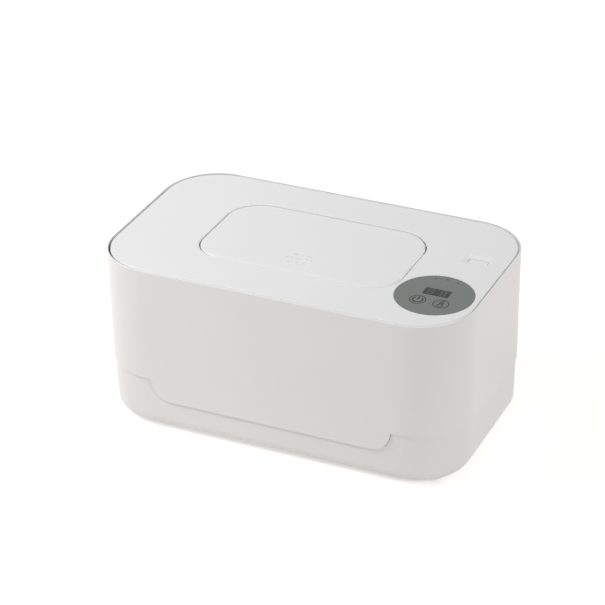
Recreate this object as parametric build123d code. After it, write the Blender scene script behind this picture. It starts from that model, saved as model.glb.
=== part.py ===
from build123d import *
import math
import os

os.makedirs("parts", exist_ok=True)

# A countertop baby wipe warmer, in millimetres. +X is right, +Y is back and +Z is up. The origin
# is on the table, under the middle of the body, and the four rubber feet rest at z = 0.

# Driving dimensions: the body

BODY_LENGTH = 240.0  # left to right over the upper shell
BODY_WIDTH = 141.0  # front to back over the upper shell
BODY_HEIGHT = 112.0  # table to the flat top
CORNER_RADIUS = 36.0  # upright corners of the upper shell
WALL_LEAN = 0.0069  # how far the shell's wall leans in, for each millimetre down from the top
SHELL_WALL = 2.5
SHELL_EDGE = 0.5  # rounding along the top of the rim
FOOT_HEIGHT = 2.0

# The joint between the two shells, and the tab that laps over the base at the front

PARTING_HEIGHT = 36.5
PARTING_GAP = 0.3
TAB_WIDTH = 160.0
TAB_DROP = 14.1
TAB_CORNER = 14.0

BASE_STEP = 0.8  # the base stands this much further in than the shell above it
BASE_LEAN = 0.68  # and leans in by this much more down to the feet
BASE_EDGE = 8.0  # large rounding under the base
BASE_FLOOR = 2.5
LIP_ROOT = 2.1  # how far the lip runs down inside the base's wall
LIP_WALL = 1.5
LIP_HEIGHT = 6.3  # upstand of the base that the shell slips over
LIP_GAP = 0.15

# The lid, let into the top of the shell

RIM_WALL = 0.8
LID_GAP = 1.3
LID_PLATE = 2.2
LID_EDGE = 0.9
SKIRT_DEPTH = 6.0
SKIRT_WALL = 2.0
LID_DEPTH = 17.0  # flat top down to the underside of the liner
LINER_FLOOR = 1.8
LINER_WALL = 1.6
LINER_CORNER = 20.0
GROOVE_DEPTH = 1.4  # of the line round the lid
LINER_SIDE_GAP = 9.0  # from the body's front and back faces to the liner
LINER_RIGHT_GAP = 8.0
REST_GAP = 0.3  # air between the lid and what it comes down on
ROOT = 0.5  # how far a rib or a post runs into the wall that carries it
CUT_PAST = 9.0  # how far a cut is drawn past the face it opens
TAB_BEHIND = 27.0  # how far back the tab's outline is drawn

# The lid's hinge along the left end

HINGE_SETBACK = 15.0  # from the lid's left edge in to the axis
HINGE_DROP = 1.9  # from the flat top down to the axis
HINGE_FROM_SIDE = 34.5  # from the body's front and back to the middle of each hinge
HINGE_PIN_RADIUS = 0.75
HINGE_PIN_LENGTH = 16.0
HINGE_EAR_RADIUS = 1.3
HINGE_EAR_WIDTH = 5.0
HINGE_RUNNING_GAP = 0.05
HINGE_POCKET_GAP = 0.12
HINGE_BARREL_RADIUS = 2.0
HINGE_NECK_START = 0.5  # from the axis to the left face of the bracket's neck
HINGE_NECK = 2.2
HINGE_NECK_WIDTH = 12.0
HINGE_FOOT = 14.0
HINGE_FOOT_REACH = 9.0
BRACKET_PLATE = 1.2
BRACKET_SCREW_REACH = 4.95
BRACKET_SCREW_SPACING = 8.4
HINGE_SHOULDER_GAP = 0.6
HINGE_NECK_DROP = 0.6  # from the axis down to the top of the neck
LINER_HINGE_GAP = 4.5  # from the axis to the liner's left wall

# The wipe tub

TUB_LEFT_BAY = 25.5  # from the body's left end to the inside of the tub
TUB_RIGHT_BAY = 16.5
TUB_SIDE_BAY = 14.5
TUB_CORNER = 20.0
TUB_WALL = 2.0
TUB_FLOOR_HEIGHT = 24.0  # table to the inside of the tub's floor
TUB_FLOOR_ROUND = 6.0
FLANGE_DROP = 19.5  # flat top down to the tub's flange
FLANGE_THICK = 2.0
FLANGE_GAP = 0.4
SHELF_WIDTH = 5.5
SHELF_THICK = 2.5
SHELF_PAD_WIDTH = 100.0  # the wider stretch of the shelf, under the hinge brackets
SHELF_PAD_REACH = 16.0  # from the body's left end
SHELF_PAD_DEPTH = 1.5  # how far the pad reaches under the shelf
GASKET_OFFSET = 1.4
GASKET_WIDTH = 3.0
GASKET_SEAT = 0.6

# The dispensing flap and the well under it

FLAP_SIDE = -0.65  # how far the flap lies to the right of the middle of the body
FLAP_FROM_END = 53.9  # from each end of the body to the flap, if it lay in the middle
FLAP_FROM_FRONT = 34.8
FLAP_FROM_BACK = 32.0
FLAP_FRONT_CORNER = 18.4
FLAP_BACK_CORNER = 22.4
FLAP_GAP = 0.8
FLAP_THICK = 2.0
FLAP_EDGE = 1.2
OPENING_EDGE = 0.5  # rounding along the lid's edge round the flap
FLAP_HINGE_SETBACK = 11.0
FLAP_HINGE_DROP = 1.0
FLAP_PIN_RADIUS = 0.5
FLAP_PIN_LENGTH = 10.0
FLAP_PIN_GAP = 0.04
FLAP_BARREL_RADIUS = 1.5
FLAP_BARREL_LENGTH = 6.0
FLAP_BARREL_INSET = 1.0
FLAP_BOSS_WIDTH = 6.0
FLAP_BOSS_END = 1.5  # past the end of the pin
LEDGE_DROP = 3.4  # flat top down to the ledge under the flap
LEDGE_THICK = 1.6
LEDGE_FRONT = 10.0
LEDGE_SIDE = 3.0
WELL_WALL = 1.6
WELL_CORNER = 8.0
GRIP_LENGTHS = (12.6, 17.6, 11.8)  # the three grip marks, from the back one to the front one
GRIP_PITCH = 4.7
GRIP_WIDTH = 1.5
GRIP_DEPTH = 0.5
GRIP_SETBACK = 16.0  # flap's front edge to the middle mark
GRIP_SIDE = 0.05  # to the right of the flap's middle

PORT_FROM_END = 24.1  # from the flap's ends to the port
PORT_FROM_LEDGE = 13.5
PORT_SCREW_FROM_END = 14.1
PORT_SCREW_FROM_LEDGE = 15.5
PORT_SCREW_FROM_BACK = 16.3
PORT_LINER_MARGIN = 2.0
SCREW_ROOF = 0.4  # plastic left over the port screws
DISPENSER_PLATE = 2.0
MEMBRANE_THICK = 1.2
MEMBRANE_LIP = 2.0
MEMBRANE_LIP_THICK = 0.6
SLOT_FROM_END = 12.0  # from the port's ends to the slot
SLOT_WIDTH = 8.0
FLAP_RING_MARGIN = 8.0  # from the port to the sealing ring under the flap
FLAP_RING_WALL = 1.6
FLAP_SEAL_HEIGHT = 1.4
FLAP_SEAL_LIP = 0.8

# The touch latch that holds the flap down

TOUCH_LENGTH = 12.0
TOUCH_WIDTH = 7.0
TOUCH_HEIGHT = 9.2
TOUCH_SETBACK = 6.0  # from the front of the flap's well to the plunger
PLUNGER_RADIUS = 1.8
PLUNGER_LENGTH = 6.2
PLUNGER_GAP = 0.25
TOUCH_FLOOR = 1.2
TOUCH_SPRING_TURNS = 4
PLUNGER_EDGE = 0.4
CLAW_WIDTH = 3.0

# The control panel

PANEL_RADIUS = 24.0
PANEL_THICK = 1.6
PANEL_EDGE = 0.3
PANEL_FROM_RIGHT = 28.9
PANEL_FROM_FRONT = 41.2
PANEL_GAP = 0.15
PANEL_SEAT = 2.2  # width of the seat that carries the disc
PANEL_SEAT_DROP = 1.3  # how far the seat reaches down under the lid's plate
DISPLAY_LENGTH = 16.4
DISPLAY_WIDTH = 8.2
DISPLAY_CORNER = 0.6
DISPLAY_SIDE = 0.3
DISPLAY_BEHIND = 3.45
DISPLAY_LENS = 1.2
DISPLAY_BODY_MARGIN = 2.0
MODULE_CORNER = 0.5
KEY_SPACING = 14.6  # between the two touch keys
KEY_SIDE = 0.1
KEY_FRONT = 8.5
KEY_SPRING_RADIUS = 2.6
KEY_SPRING_TURNS = 5
LAMP_RADIUS = 0.9
LAMP_BODY_RADIUS = 1.6
LAMP_BODY_HEIGHT = 4.5
LAMP_ORBIT = 20.3  # the lamps lie on an arc of this radius about the panel's middle
LAMP_STEP = 20.7  # degrees from lamp to lamp
LAMP_TURN = 1.2  # degrees that the middle lamp lies to the right
BOARD_LENGTH = 36.0
BOARD_WIDTH = 40.0
BOARD_BEHIND = 3.0
BOARD_THICK = 1.6
BOARD_DROP = 8.4  # flat top down to the board's upper face
BOARD_CORNER = 1.5
BOARD_SCREW_INSET = 3.5
BOARD_SCREW_BITE = 3.5
BOARD_HOLE_FLOOR = 1.0  # plastic left under the board's screws
POST_RADIUS = 2.6
CONTROL_PLUG = (5.0, 8.0, 3.2)  # length, width and height
CONTROL_PLUG_FRONT = 6.0  # from the panel's middle
CONTROL_WIRE_RISE = 1.6
CONTROLLER_SIZE = 9.0
CONTROLLER_THICK = 1.2
CONTROLLER_CORNER = 0.4
CONTROLLER_PLACE = (-3.0, 2.0)  # from the board's middle
BUZZER_RADIUS = 4.0
BUZZER_HEIGHT = 3.2
BUZZER_PLACE = (10.0, 6.0)
CHIP_LENGTH = 3.2
CHIP_WIDTH = 3.0
CHIP_THICK = 1.0
CHIP_PITCH = 6.0
CHIP_FRONT = 11.5

# The lid release button and the catch that it works

POCKET_FROM_RIGHT = 20.4
POCKET_BEHIND = 21.0
POCKET_LENGTH = 18.7
POCKET_WIDTH = 11.7
POCKET_DEPTH = 1.4
POCKET_SLOPE = 3.05
POCKET_CORNER = 2.0
BUTTON_GAP = 0.25
BUTTON_HEAD = 1.6
BUTTON_CORNER = 1.0
BUTTON_EDGE = 0.2
BUTTON_FLANGE = 1.9
BUTTON_FLANGE_MARGIN = 1.25
BUTTON_TRAVEL = 2.2
BUTTON_STEM_LENGTH = 5.0
BUTTON_STEM_WIDTH = 4.0
BOLT_WIDTH = 8.0
BOLT_THICK = 3.0
BOLT_GAP = 0.2
BOLT_NOSE_GAP = 1.5  # from the nose to the inside of the shell
BOLT_TAIL = 6.1  # from the button's middle back to the bolt's tail
RAMP_HEIGHT = 4.6
RAMP_GAP = 0.15
RAMP_FOOT = 2.4  # width of the slope at the stem's end
RAIL_START = 1.0
BRIDGE_GAP = 2.0
BRIDGE_LENGTH = 4.0
STRIKE_LENGTH = 10.0
STRIKE_BITE = 1.4  # how far the nose reaches under the strike
STRIKE_HEIGHT = 3.7
STRIKE_PLATE = 1.0
STRIKE_SCREW_SPACING = 13.0
STRIKE_HEAD_GAP = 0.4
STRIKE_FOOT_MARGIN = 0.6
STRIKE_PAD = 3.0  # how far the shelf's pad reaches past the screws and under the shelf
BOLT_SPRING_LENGTH = 9.5
BOLT_SPRING_TURNS = 7
SPRING_STOP_WIDTH = 6.0
SPRING_STOP_RISE = 1.0
SPRING_WIRE = 0.25
BOLT_SPRING_RADIUS = 1.2

# The heater under the tub

SPREADER_MARGIN = 11.0  # from the inside of the tub in to the spreader's edge
SPREADER_THICK = 1.8
SPREADER_CORNER = 10.0
FILM_MARGIN = 8.0
FILM_THICK = 0.6
FILM_CORNER = 6.0
FILM_TAIL_ROOT = 1.0
PAD_THICK = 6.0
FILM_TAIL_LENGTH = 5.5
FILM_TAIL_WIDTH = 12.0
FUSE_RADIUS = 1.8
FUSE_LENGTH = 10.0
FUSE_PLACE = 19.0  # how far the fuse lies behind the middle
SENSOR_RADIUS = 1.4
SENSOR_LENGTH = 7.0
RIB_INSET = 6.0  # from the film's edge to the ends of the ribs under the pad
CROSS_RIBS = 4

# The power board and its jack, in the left bay

POWER_BOARD_LENGTH = 76.0
POWER_BOARD_WIDTH = 14.0
POWER_BOARD_HEIGHT = 14.0  # table to the board's underside
POWER_BOARD_FROM_LEFT = 14.0  # body's left end to the board's middle
POWER_SCREW_INSET = 3.5
POWER_SCREW_BITE = 5.0
CONNECTOR_INSET = 8.0  # from the board's ends to the faces of the terminal and the plug
TERMINAL = (9.0, 8.0, 8.5)  # length, width and height
RELAY = (10.0, 16.0, 12.0)
RELAY_Y = 6.0
CAPACITOR_RADIUS = 4.0
CAPACITOR_HEIGHT = 13.0
CAPACITOR_Y = -9.0
INDUCTOR_RADIUS = 4.6
INDUCTOR_HEIGHT = 7.0
INDUCTOR_Y = -19.0
POWER_PLUG = (7.0, 5.0, 6.0)
POWER_PLUG_SIDE = -1.5
JACK_FROM_LEFT = 40.0
JACK_HEIGHT = 16.0
JACK_WIDTH = 9.0
JACK_TALL = 10.5
JACK_DEPTH = 14.0
JACK_BARREL_RADIUS = 4.2
JACK_BORE_RADIUS = 3.1
JACK_BORE_DEPTH = 9.5
JACK_PIN_RADIUS = 1.0
JACK_FIT = 0.2
JACK_PIN_SHORT = 0.8  # the pin ends this far inside the mouth
JACK_ROOT = 1.0

# Fasteners, feet and wires

SCREW_RADIUS = 1.5
SCREW_HEAD_RADIUS = 2.7
SCREW_HEAD_HEIGHT = 2.0
SMALL_SCREW_RADIUS = 1.0
SMALL_HEAD_RADIUS = 1.9
SMALL_HEAD_HEIGHT = 1.3
SCREW_FIT = 0.2
SCREW_RECESS = 0.6
CROSS_WIDTH = 0.7
CROSS_REACH = 0.6  # of the head's radius
HOLE_SPARE = 2.0  # how much deeper the large holes are than their screws reach
SMALL_HOLE_SPARE = 1.0
BOSS_WALL = 2.0
PILLAR_RADIUS = 5.0
PILLAR_NECK_RADIUS = 3.4
LEFT_PILLAR = (20.0, 16.5)  # in from the body's end and from its side
RIGHT_PILLAR = (17.0, 16.0)
PILLAR_TOP = 42.0
PILLAR_BOSS_EXTRA = 0.5  # the shell's bosses over the pillars are this much thicker
HOUSING_SCREW_BITE = 10.0
COUNTERBORE_DEPTH = 8.0
TUB_SCREW_SPACING = 60.0
TUB_SCREW_INSET = 5.5
TUB_SCREW_BITE = 6.0
TUB_BOSS_DEPTH = 8.0
TUB_HEAD_TRIM = 0.7  # the tub's screws have heads this much smaller in radius
LID_SCREW_SHORT = 6.0  # the lid's screws end this far under its plate
LID_HOLE_ROOF = 1.0
LID_SCREW_LEFT = 15.4  # from the liner's left end
LID_SCREW_RIGHT = 16.0
LID_SCREW_SIDE = 15.0  # from the liner's front and back
LID_SCREW_BACK_RIGHT = 17.5
LID_SCREW_WELL_FRONT = 10.5
LID_SCREW_WELL_BACK = 11.0
PANEL_SCREW_FRONT = (-6.4, -24.5)  # from the panel's middle
PANEL_SCREW_BACK = (-10.4, 35.0)
FOOT_RADIUS = 7.0
FOOT_SEAT = 1.0
FOOT_EDGE = 0.6
FOOT_FROM_END = 34.0
FOOT_FROM_SIDE = 28.0
RIB = 2.0

# The wires, and how far each of their corners lies from the piece it passes

WIRE_RADIUS = 0.8
TIGHT_BEND = 2.2
LOOSE_BEND = 3.0
JACK_BEND = 2.4
JACK_LEAD_SPACING = 3.0
JACK_LEAD_RISE = 2.0
JACK_LEAD_RUNS = (6.5, 9.0, 11.0)
JACK_LEAD_ACROSS = 13.0
TERMINAL_WIRE_RISE = 4.0
HEATER_WIRE_SPACING = 6.0
HEATER_WIRE_START = 4.0
HEATER_WIRE_RISE = 3.2
HEATER_WIRE_RUN = 12.0
HEATER_WIRE_OVER = 1.0
FUSE_WIRE_ASIDE = 3.0
RELAY_WIRE_Y = 4.0
FUSE_WIRE_RUNS = (9.5, 8.5)
FUSE_WIRE_YS = (8.0, 10.0)
FUSE_WIRE_DROPS = (1.0, 0.2)
TERMINAL_WIRE_Y = 26.0
SENSOR_WIRE_RUN = 6.0
HARNESS_BENDS = (4.0, 6.0, 8.0, 2.2, 1.6)
HARNESS_PLUG_SIDE = -1.5
HARNESS_PLUG_RISE = 3.0
HARNESS_PLUG_RUNS = (9.0, 11.0)
HARNESS_PLUG_ACROSS = 2.5
HARNESS_CLIMB = 30.0
HARNESS_BELOW_FLANGE = 16.0
HARNESS_RIGHT_OF_HINGE = 1.9
CROSSING_FROM_PIN = 6.0  # from the hinge pin's end to where the harness crosses the axis
DROP_FROM_CROSSING = 4.3
AXIS_RUN = 2.1
AXIS_DROP = 2.5
CROSSING_GAP = 0.1
CHANNEL_LEFT = 1.4
CHANNEL_RIGHT = 3.4
CHANNEL_FRONT = 7.0
CHANNEL_BACK = 6.0
CHANNEL_RISE = 1.2
NOTCH_FRONT = 5.0
NOTCH_BACK = 1.0
NOTCH_DROP = 1.5
EXIT_DROP = 3.5
LID_HARNESS_BENDS = (1.5, 4.0, 6.0, 6.0, 2.2)
LID_HARNESS_STARTS = (3.2, 7.0)
LID_HARNESS_FRONT = 17.2  # in front of the flap's well
LID_HARNESS_RISE = 4.5
LID_HARNESS_LEFTS = (22.0, 8.0)
LID_HARNESS_OUT = 3.5
LID_HARNESS_ON_AXIS = 5.5

# Places worked out from the driving dimensions

LEFT, RIGHT = -BODY_LENGTH / 2, BODY_LENGTH / 2
FRONT, BACK = -BODY_WIDTH / 2, BODY_WIDTH / 2
TOP = BODY_HEIGHT

LID_INSET = RIM_WALL + LID_GAP
PLATE_UNDER = TOP - LID_PLATE
SKIRT_BOTTOM = TOP - SKIRT_DEPTH
SHELL_LEDGE = SKIRT_BOTTOM - REST_GAP
LINER_UNDER = TOP - LID_DEPTH
LINER_TOP = LINER_UNDER + LINER_FLOOR
LINER_WALL_TOP = PLATE_UNDER - REST_GAP

HINGE_X = LEFT + LID_INSET + HINGE_SETBACK
HINGE_Z = TOP - HINGE_DROP
HINGE_YS = (FRONT + HINGE_FROM_SIDE, BACK - HINGE_FROM_SIDE)

LINER_LEFT = HINGE_X + LINER_HINGE_GAP
LINER_RIGHT = RIGHT - LINER_RIGHT_GAP
LINER_BACK = BACK - LINER_SIDE_GAP

TUB_LEFT = LEFT + TUB_LEFT_BAY
TUB_RIGHT = RIGHT - TUB_RIGHT_BAY
TUB_MIDDLE = (TUB_LEFT + TUB_RIGHT) / 2
TUB_LENGTH = TUB_RIGHT - TUB_LEFT
TUB_WIDTH = BODY_WIDTH - 2 * TUB_SIDE_BAY
TUB_UNDER = TUB_FLOOR_HEIGHT - TUB_WALL
FLANGE_TOP = TOP - FLANGE_DROP
FLANGE_UNDER = FLANGE_TOP - FLANGE_THICK
FLANGE_INSET = SHELL_WALL + FLANGE_GAP
SHELF_UNDER = FLANGE_UNDER - SHELF_THICK

FLOOR_TOP = FOOT_HEIGHT + BASE_FLOOR
BASE_TOP = PARTING_HEIGHT - PARTING_GAP
LIP_TOP = BASE_TOP + LIP_HEIGHT
TAB_BOTTOM = PARTING_HEIGHT - TAB_DROP
BASE_INSET = (TOP - PARTING_HEIGHT) * WALL_LEAN + BASE_STEP
LIP_INSET = SHELL_WALL + LIP_GAP
CAVITY_INSET = LIP_INSET + LIP_WALL

FLAP_X = FLAP_SIDE
FLAP_FRONT = FRONT + FLAP_FROM_FRONT
FLAP_BACK = BACK - FLAP_FROM_BACK
FLAP_Y = (FLAP_FRONT + FLAP_BACK) / 2
FLAP_LENGTH = BODY_LENGTH - 2 * FLAP_FROM_END
FLAP_WIDTH = FLAP_BACK - FLAP_FRONT
FLAP_UNDER = TOP - FLAP_THICK
FLAP_HINGE_Y = FLAP_BACK - FLAP_HINGE_SETBACK
FLAP_HINGE_Z = TOP - FLAP_HINGE_DROP
WELL_FRONT = FLAP_FRONT - FLAP_GAP
WELL_BACK = FLAP_BACK + FLAP_GAP
LEDGE_TOP = TOP - LEDGE_DROP
LEDGE_UNDER = LEDGE_TOP - LEDGE_THICK
PORT_FLOOR = LINER_TOP + DISPENSER_PLATE
ROOM_FRONT = WELL_FRONT + LEDGE_FRONT
PORT_LENGTH = FLAP_LENGTH - 2 * PORT_FROM_END
PORT_WIDTH = -2 * (ROOM_FRONT + PORT_FROM_LEDGE)
SLOT_LENGTH = PORT_LENGTH - 2 * SLOT_FROM_END
PORT_SCREW_PLACES = [
    (FLAP_X + side * (FLAP_LENGTH / 2 - PORT_SCREW_FROM_END), y)
    for side in (-1, 1)
    for y in (ROOM_FRONT + PORT_SCREW_FROM_LEDGE, WELL_BACK - PORT_SCREW_FROM_BACK)
]
FLAP_SEAL_BOTTOM = PORT_FLOOR + REST_GAP
FLAP_RING_BOTTOM = FLAP_SEAL_BOTTOM + FLAP_SEAL_HEIGHT
# where the flap's rounded corner crosses the hinge axis
FLAP_EDGE_AT_HINGE = (FLAP_LENGTH / 2 - FLAP_BACK_CORNER
                      + math.sqrt(FLAP_BACK_CORNER**2 - (FLAP_BACK_CORNER - FLAP_HINGE_SETBACK) ** 2))
FLAP_PIN_X = FLAP_EDGE_AT_HINGE + FLAP_GAP / 2

TOUCH_Y = WELL_FRONT + TOUCH_SETBACK - 2 * FLAP_GAP
TOUCH_BOTTOM = LEDGE_UNDER - TOUCH_HEIGHT
PLUNGER_TOP = FLAP_UNDER - REST_GAP
PLUNGER_BOTTOM = PLUNGER_TOP - PLUNGER_LENGTH

PANEL_X = RIGHT - PANEL_FROM_RIGHT
PANEL_Y = FRONT + PANEL_FROM_FRONT
PANEL_UNDER = TOP - PANEL_THICK
DISPLAY_X = PANEL_X + DISPLAY_SIDE
DISPLAY_Y = PANEL_Y + DISPLAY_BEHIND
BOARD_Y = PANEL_Y + BOARD_BEHIND
BOARD_TOP = TOP - BOARD_DROP
BOARD_UNDER = BOARD_TOP - BOARD_THICK
KEY_XS = (PANEL_X + KEY_SIDE - KEY_SPACING / 2, PANEL_X + KEY_SIDE + KEY_SPACING / 2)
KEY_Y = PANEL_Y - KEY_FRONT
LAMP_PLACES = [
    (PANEL_X + LAMP_ORBIT * math.sin(math.radians(turn)), PANEL_Y + LAMP_ORBIT * math.cos(math.radians(turn)))
    for turn in (LAMP_TURN - LAMP_STEP, LAMP_TURN, LAMP_TURN + LAMP_STEP)
]
HARNESS_START = (PANEL_X - BOARD_LENGTH / 2, PANEL_Y - CONTROL_PLUG_FRONT, BOARD_TOP + CONTROL_WIRE_RISE)

BUTTON_X = RIGHT - POCKET_FROM_RIGHT
BUTTON_Y = POCKET_BEHIND
BUTTON_TOP = TOP - POCKET_DEPTH
BUTTON_LENGTH = POCKET_LENGTH - 2 * POCKET_SLOPE - 2 * BUTTON_GAP
BUTTON_WIDTH = POCKET_WIDTH - 2 * POCKET_SLOPE - 2 * BUTTON_GAP
BUTTON_FLANGE_TOP = PLATE_UNDER - REST_GAP
BUTTON_FLANGE_UNDER = BUTTON_FLANGE_TOP - BUTTON_FLANGE
BOLT_UNDER = LINER_TOP + BOLT_GAP
BOLT_TOP = BOLT_UNDER + BOLT_THICK
BOLT_NOSE = RIGHT - SHELL_WALL - BOLT_NOSE_GAP
BOLT_BACK = BUTTON_X - BOLT_TAIL
STEM_BOTTOM = BOLT_TOP + BUTTON_TRAVEL + REST_GAP
STRIKE_UNDER = BOLT_TOP + REST_GAP
# x + z along the slope on the button's stem, which runs at 45 degrees from its left face to its end
RAMP_LINE = BUTTON_X - BUTTON_STEM_LENGTH / 2 + STEM_BOTTOM + RAMP_FOOT

SPREADER_TOP = TUB_UNDER
SPREADER_UNDER = SPREADER_TOP - SPREADER_THICK
SPREADER_LEFT = TUB_LEFT + SPREADER_MARGIN
SPREADER_LENGTH = TUB_LENGTH - 2 * SPREADER_MARGIN
SPREADER_WIDTH = TUB_WIDTH - 2 * SPREADER_MARGIN
FILM_UNDER = SPREADER_UNDER - FILM_THICK
FILM_LEFT = SPREADER_LEFT + FILM_MARGIN
PAD_UNDER = FILM_UNDER - PAD_THICK
STRIP_X = SPREADER_LEFT + FILM_MARGIN / 2

POWER_X = LEFT + POWER_BOARD_FROM_LEFT
POWER_TOP = POWER_BOARD_HEIGHT + BOARD_THICK
JACK_X = LEFT + JACK_FROM_LEFT
JACK_MOUTH = BACK - BASE_INSET - BASE_LEAN
TERMINAL_FACE_Y = POWER_BOARD_LENGTH / 2 - CONNECTOR_INSET
PLUG_FACE_Y = CONNECTOR_INSET - POWER_BOARD_LENGTH / 2
CROSSING_Y = HINGE_YS[0] - HINGE_PIN_LENGTH / 2 - CROSSING_FROM_PIN
HARNESS_DROP_X = HINGE_X + HARNESS_RIGHT_OF_HINGE
HARNESS_DROP_Y = CROSSING_Y + DROP_FROM_CROSSING
HARNESS_EXIT_Z = HINGE_Z - EXIT_DROP
FOOT_PLACES = [
    (sx * (RIGHT - FOOT_FROM_END), sy * (BACK - FOOT_FROM_SIDE)) for sx in (-1, 1) for sy in (-1, 1)
]
PILLARS = [
    (LEFT + LEFT_PILLAR[0], FRONT + LEFT_PILLAR[1]),
    (LEFT + LEFT_PILLAR[0], BACK - LEFT_PILLAR[1]),
    (RIGHT - RIGHT_PILLAR[0], FRONT + RIGHT_PILLAR[1]),
    (RIGHT - RIGHT_PILLAR[0], BACK - RIGHT_PILLAR[1]),
]


# Shapes used again and again


def block(x0, x1, y0, y1, z0, z1):
    return Pos((x0 + x1) / 2, (y0 + y1) / 2, (z0 + z1) / 2) * Box(x1 - x0, y1 - y0, z1 - z0)


def post(x, y, z0, z1, radius):
    return Pos(x, y, (z0 + z1) / 2) * Cylinder(radius, z1 - z0)


def bar_x(x0, x1, y, z, radius):
    return Pos((x0 + x1) / 2, y, z) * Rot(0, 90, 0) * Cylinder(radius, x1 - x0)


def bar_y(y0, y1, x, z, radius):
    return Pos(x, (y0 + y1) / 2, z) * Rot(90, 0, 0) * Cylinder(radius, y1 - y0)


def slab(x, y, length, width, corner, z0, z1):
    return extrude(Pos(x, y, z0) * RectangleRounded(length, width, corner), z1 - z0)


def oval(length, width, z0, z1):
    return extrude(Pos(FLAP_X, 0, z0) * SlotOverall(length, width), z1 - z0)


def body_outline(inset, z):
    return Pos(0, 0, z) * RectangleRounded(
        BODY_LENGTH - 2 * inset, BODY_WIDTH - 2 * inset, CORNER_RADIUS - inset
    )


def body_slab(inset, z0, z1):
    return extrude(body_outline(inset, z0), z1 - z0)


def bottom_edges(solid):
    return solid.faces().sort_by(Axis.Z)[0].edges()


def top_edges(solid):
    return solid.faces().sort_by(Axis.Z)[-1].edges()


def group(pieces):
    return Compound(children=list(pieces))


def screw_down(x, y, seat, length, radius, head_radius, head_height):
    """A pan-head screw driven down, with its head above the seat."""
    head = post(x, y, seat, seat + head_height, head_radius)
    arm = head_radius * CROSS_REACH
    half = CROSS_WIDTH / 2
    recess_bottom = seat + head_height - SCREW_RECESS
    head -= block(x - arm, x + arm, y - half, y + half, recess_bottom, seat + head_height)
    head -= block(x - half, x + half, y - arm, y + arm, recess_bottom, seat + head_height)
    return head + post(x, y, seat - length, seat, radius)


def screw_up(x, y, seat, length, radius, head_radius, head_height):
    """The same screw driven up, with its head below the seat."""
    turned = Rot(180, 0, 0) * screw_down(0, 0, 0, length, radius, head_radius, head_height)
    return Pos(x, y, seat) * turned


def small_screw_down(x, y, seat, length):
    return screw_down(x, y, seat, length, SMALL_SCREW_RADIUS, SMALL_HEAD_RADIUS, SMALL_HEAD_HEIGHT)


def small_screw_up(x, y, seat, length):
    return screw_up(x, y, seat, length, SMALL_SCREW_RADIUS, SMALL_HEAD_RADIUS, SMALL_HEAD_HEIGHT)


def wire(radius, bends, *points):
    """A wire along straight runs with an arc at each corner."""
    path = FilletPolyline(*points, radius=bends)
    return sweep(Plane(origin=path @ 0, z_dir=path % 0) * Circle(radius), path=path)


def coil(length, coil_radius, turns):
    """A compression spring standing on z = 0, about the Z axis."""
    path = Helix(
        pitch=(length - 2 * SPRING_WIRE) / turns,
        height=length - 2 * SPRING_WIRE,
        radius=coil_radius,
        center=(0, 0, SPRING_WIRE),
    )
    return sweep(Plane(origin=path @ 0, z_dir=path % 0) * Circle(SPRING_WIRE), path=path, is_frenet=True)


# Places of the fasteners

TUB_SCREW_PLACES = [
    (TUB_MIDDLE + step * TUB_SCREW_SPACING, side * (BACK - TUB_SCREW_INSET))
    for step in (-1, 0, 1)
    for side in (-1, 1)
]
BRACKET_SCREW_PLACES = [
    (HINGE_X - BRACKET_SCREW_REACH, y + side * BRACKET_SCREW_SPACING / 2)
    for y in HINGE_YS
    for side in (-1, 1)
]
STRIKE_SCREW_X = RIGHT - SHELL_WALL - FLANGE_GAP - SMALL_HEAD_RADIUS - STRIKE_HEAD_GAP
STRIKE_SCREW_PLACES = [(STRIKE_SCREW_X, BUTTON_Y + side * STRIKE_SCREW_SPACING / 2) for side in (-1, 1)]
LID_SCREW_PLACES = [
    (LINER_LEFT + LID_SCREW_LEFT, LID_SCREW_SIDE - LINER_BACK),
    (LINER_LEFT + LID_SCREW_LEFT, LINER_BACK - LID_SCREW_SIDE),
    (0.0, WELL_FRONT - LID_SCREW_WELL_FRONT),
    (0.0, WELL_BACK + LID_SCREW_WELL_BACK),
    (PANEL_X + PANEL_SCREW_FRONT[0], PANEL_Y + PANEL_SCREW_FRONT[1]),
    (LINER_RIGHT - LID_SCREW_RIGHT, LINER_BACK - LID_SCREW_BACK_RIGHT),
    (PANEL_X + PANEL_SCREW_BACK[0], PANEL_Y + PANEL_SCREW_BACK[1]),
]
BOARD_SCREW_PLACES = [
    (
        PANEL_X + sx * (BOARD_LENGTH / 2 - BOARD_SCREW_INSET),
        BOARD_Y + sy * (BOARD_WIDTH / 2 - BOARD_SCREW_INSET),
    )
    for sx in (-1, 1)
    for sy in (-1, 1)
]
POWER_SCREW_PLACES = [(POWER_X, side * (POWER_BOARD_LENGTH / 2 - POWER_SCREW_INSET)) for side in (-1, 1)]


# The body: two shells, the tub between them and what joins them


def tab_prism(clearance):
    height = TAB_DROP + clearance + 2 * TAB_CORNER
    face = Plane.XZ * RectangleRounded(TAB_WIDTH + 2 * clearance, height, TAB_CORNER + clearance)
    prism = extrude(face, TAB_BEHIND + CUT_PAST)  # the XZ plane faces the front
    return Pos(0, FRONT + TAB_BEHIND, TAB_BOTTOM - clearance + height / 2) * prism


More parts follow.
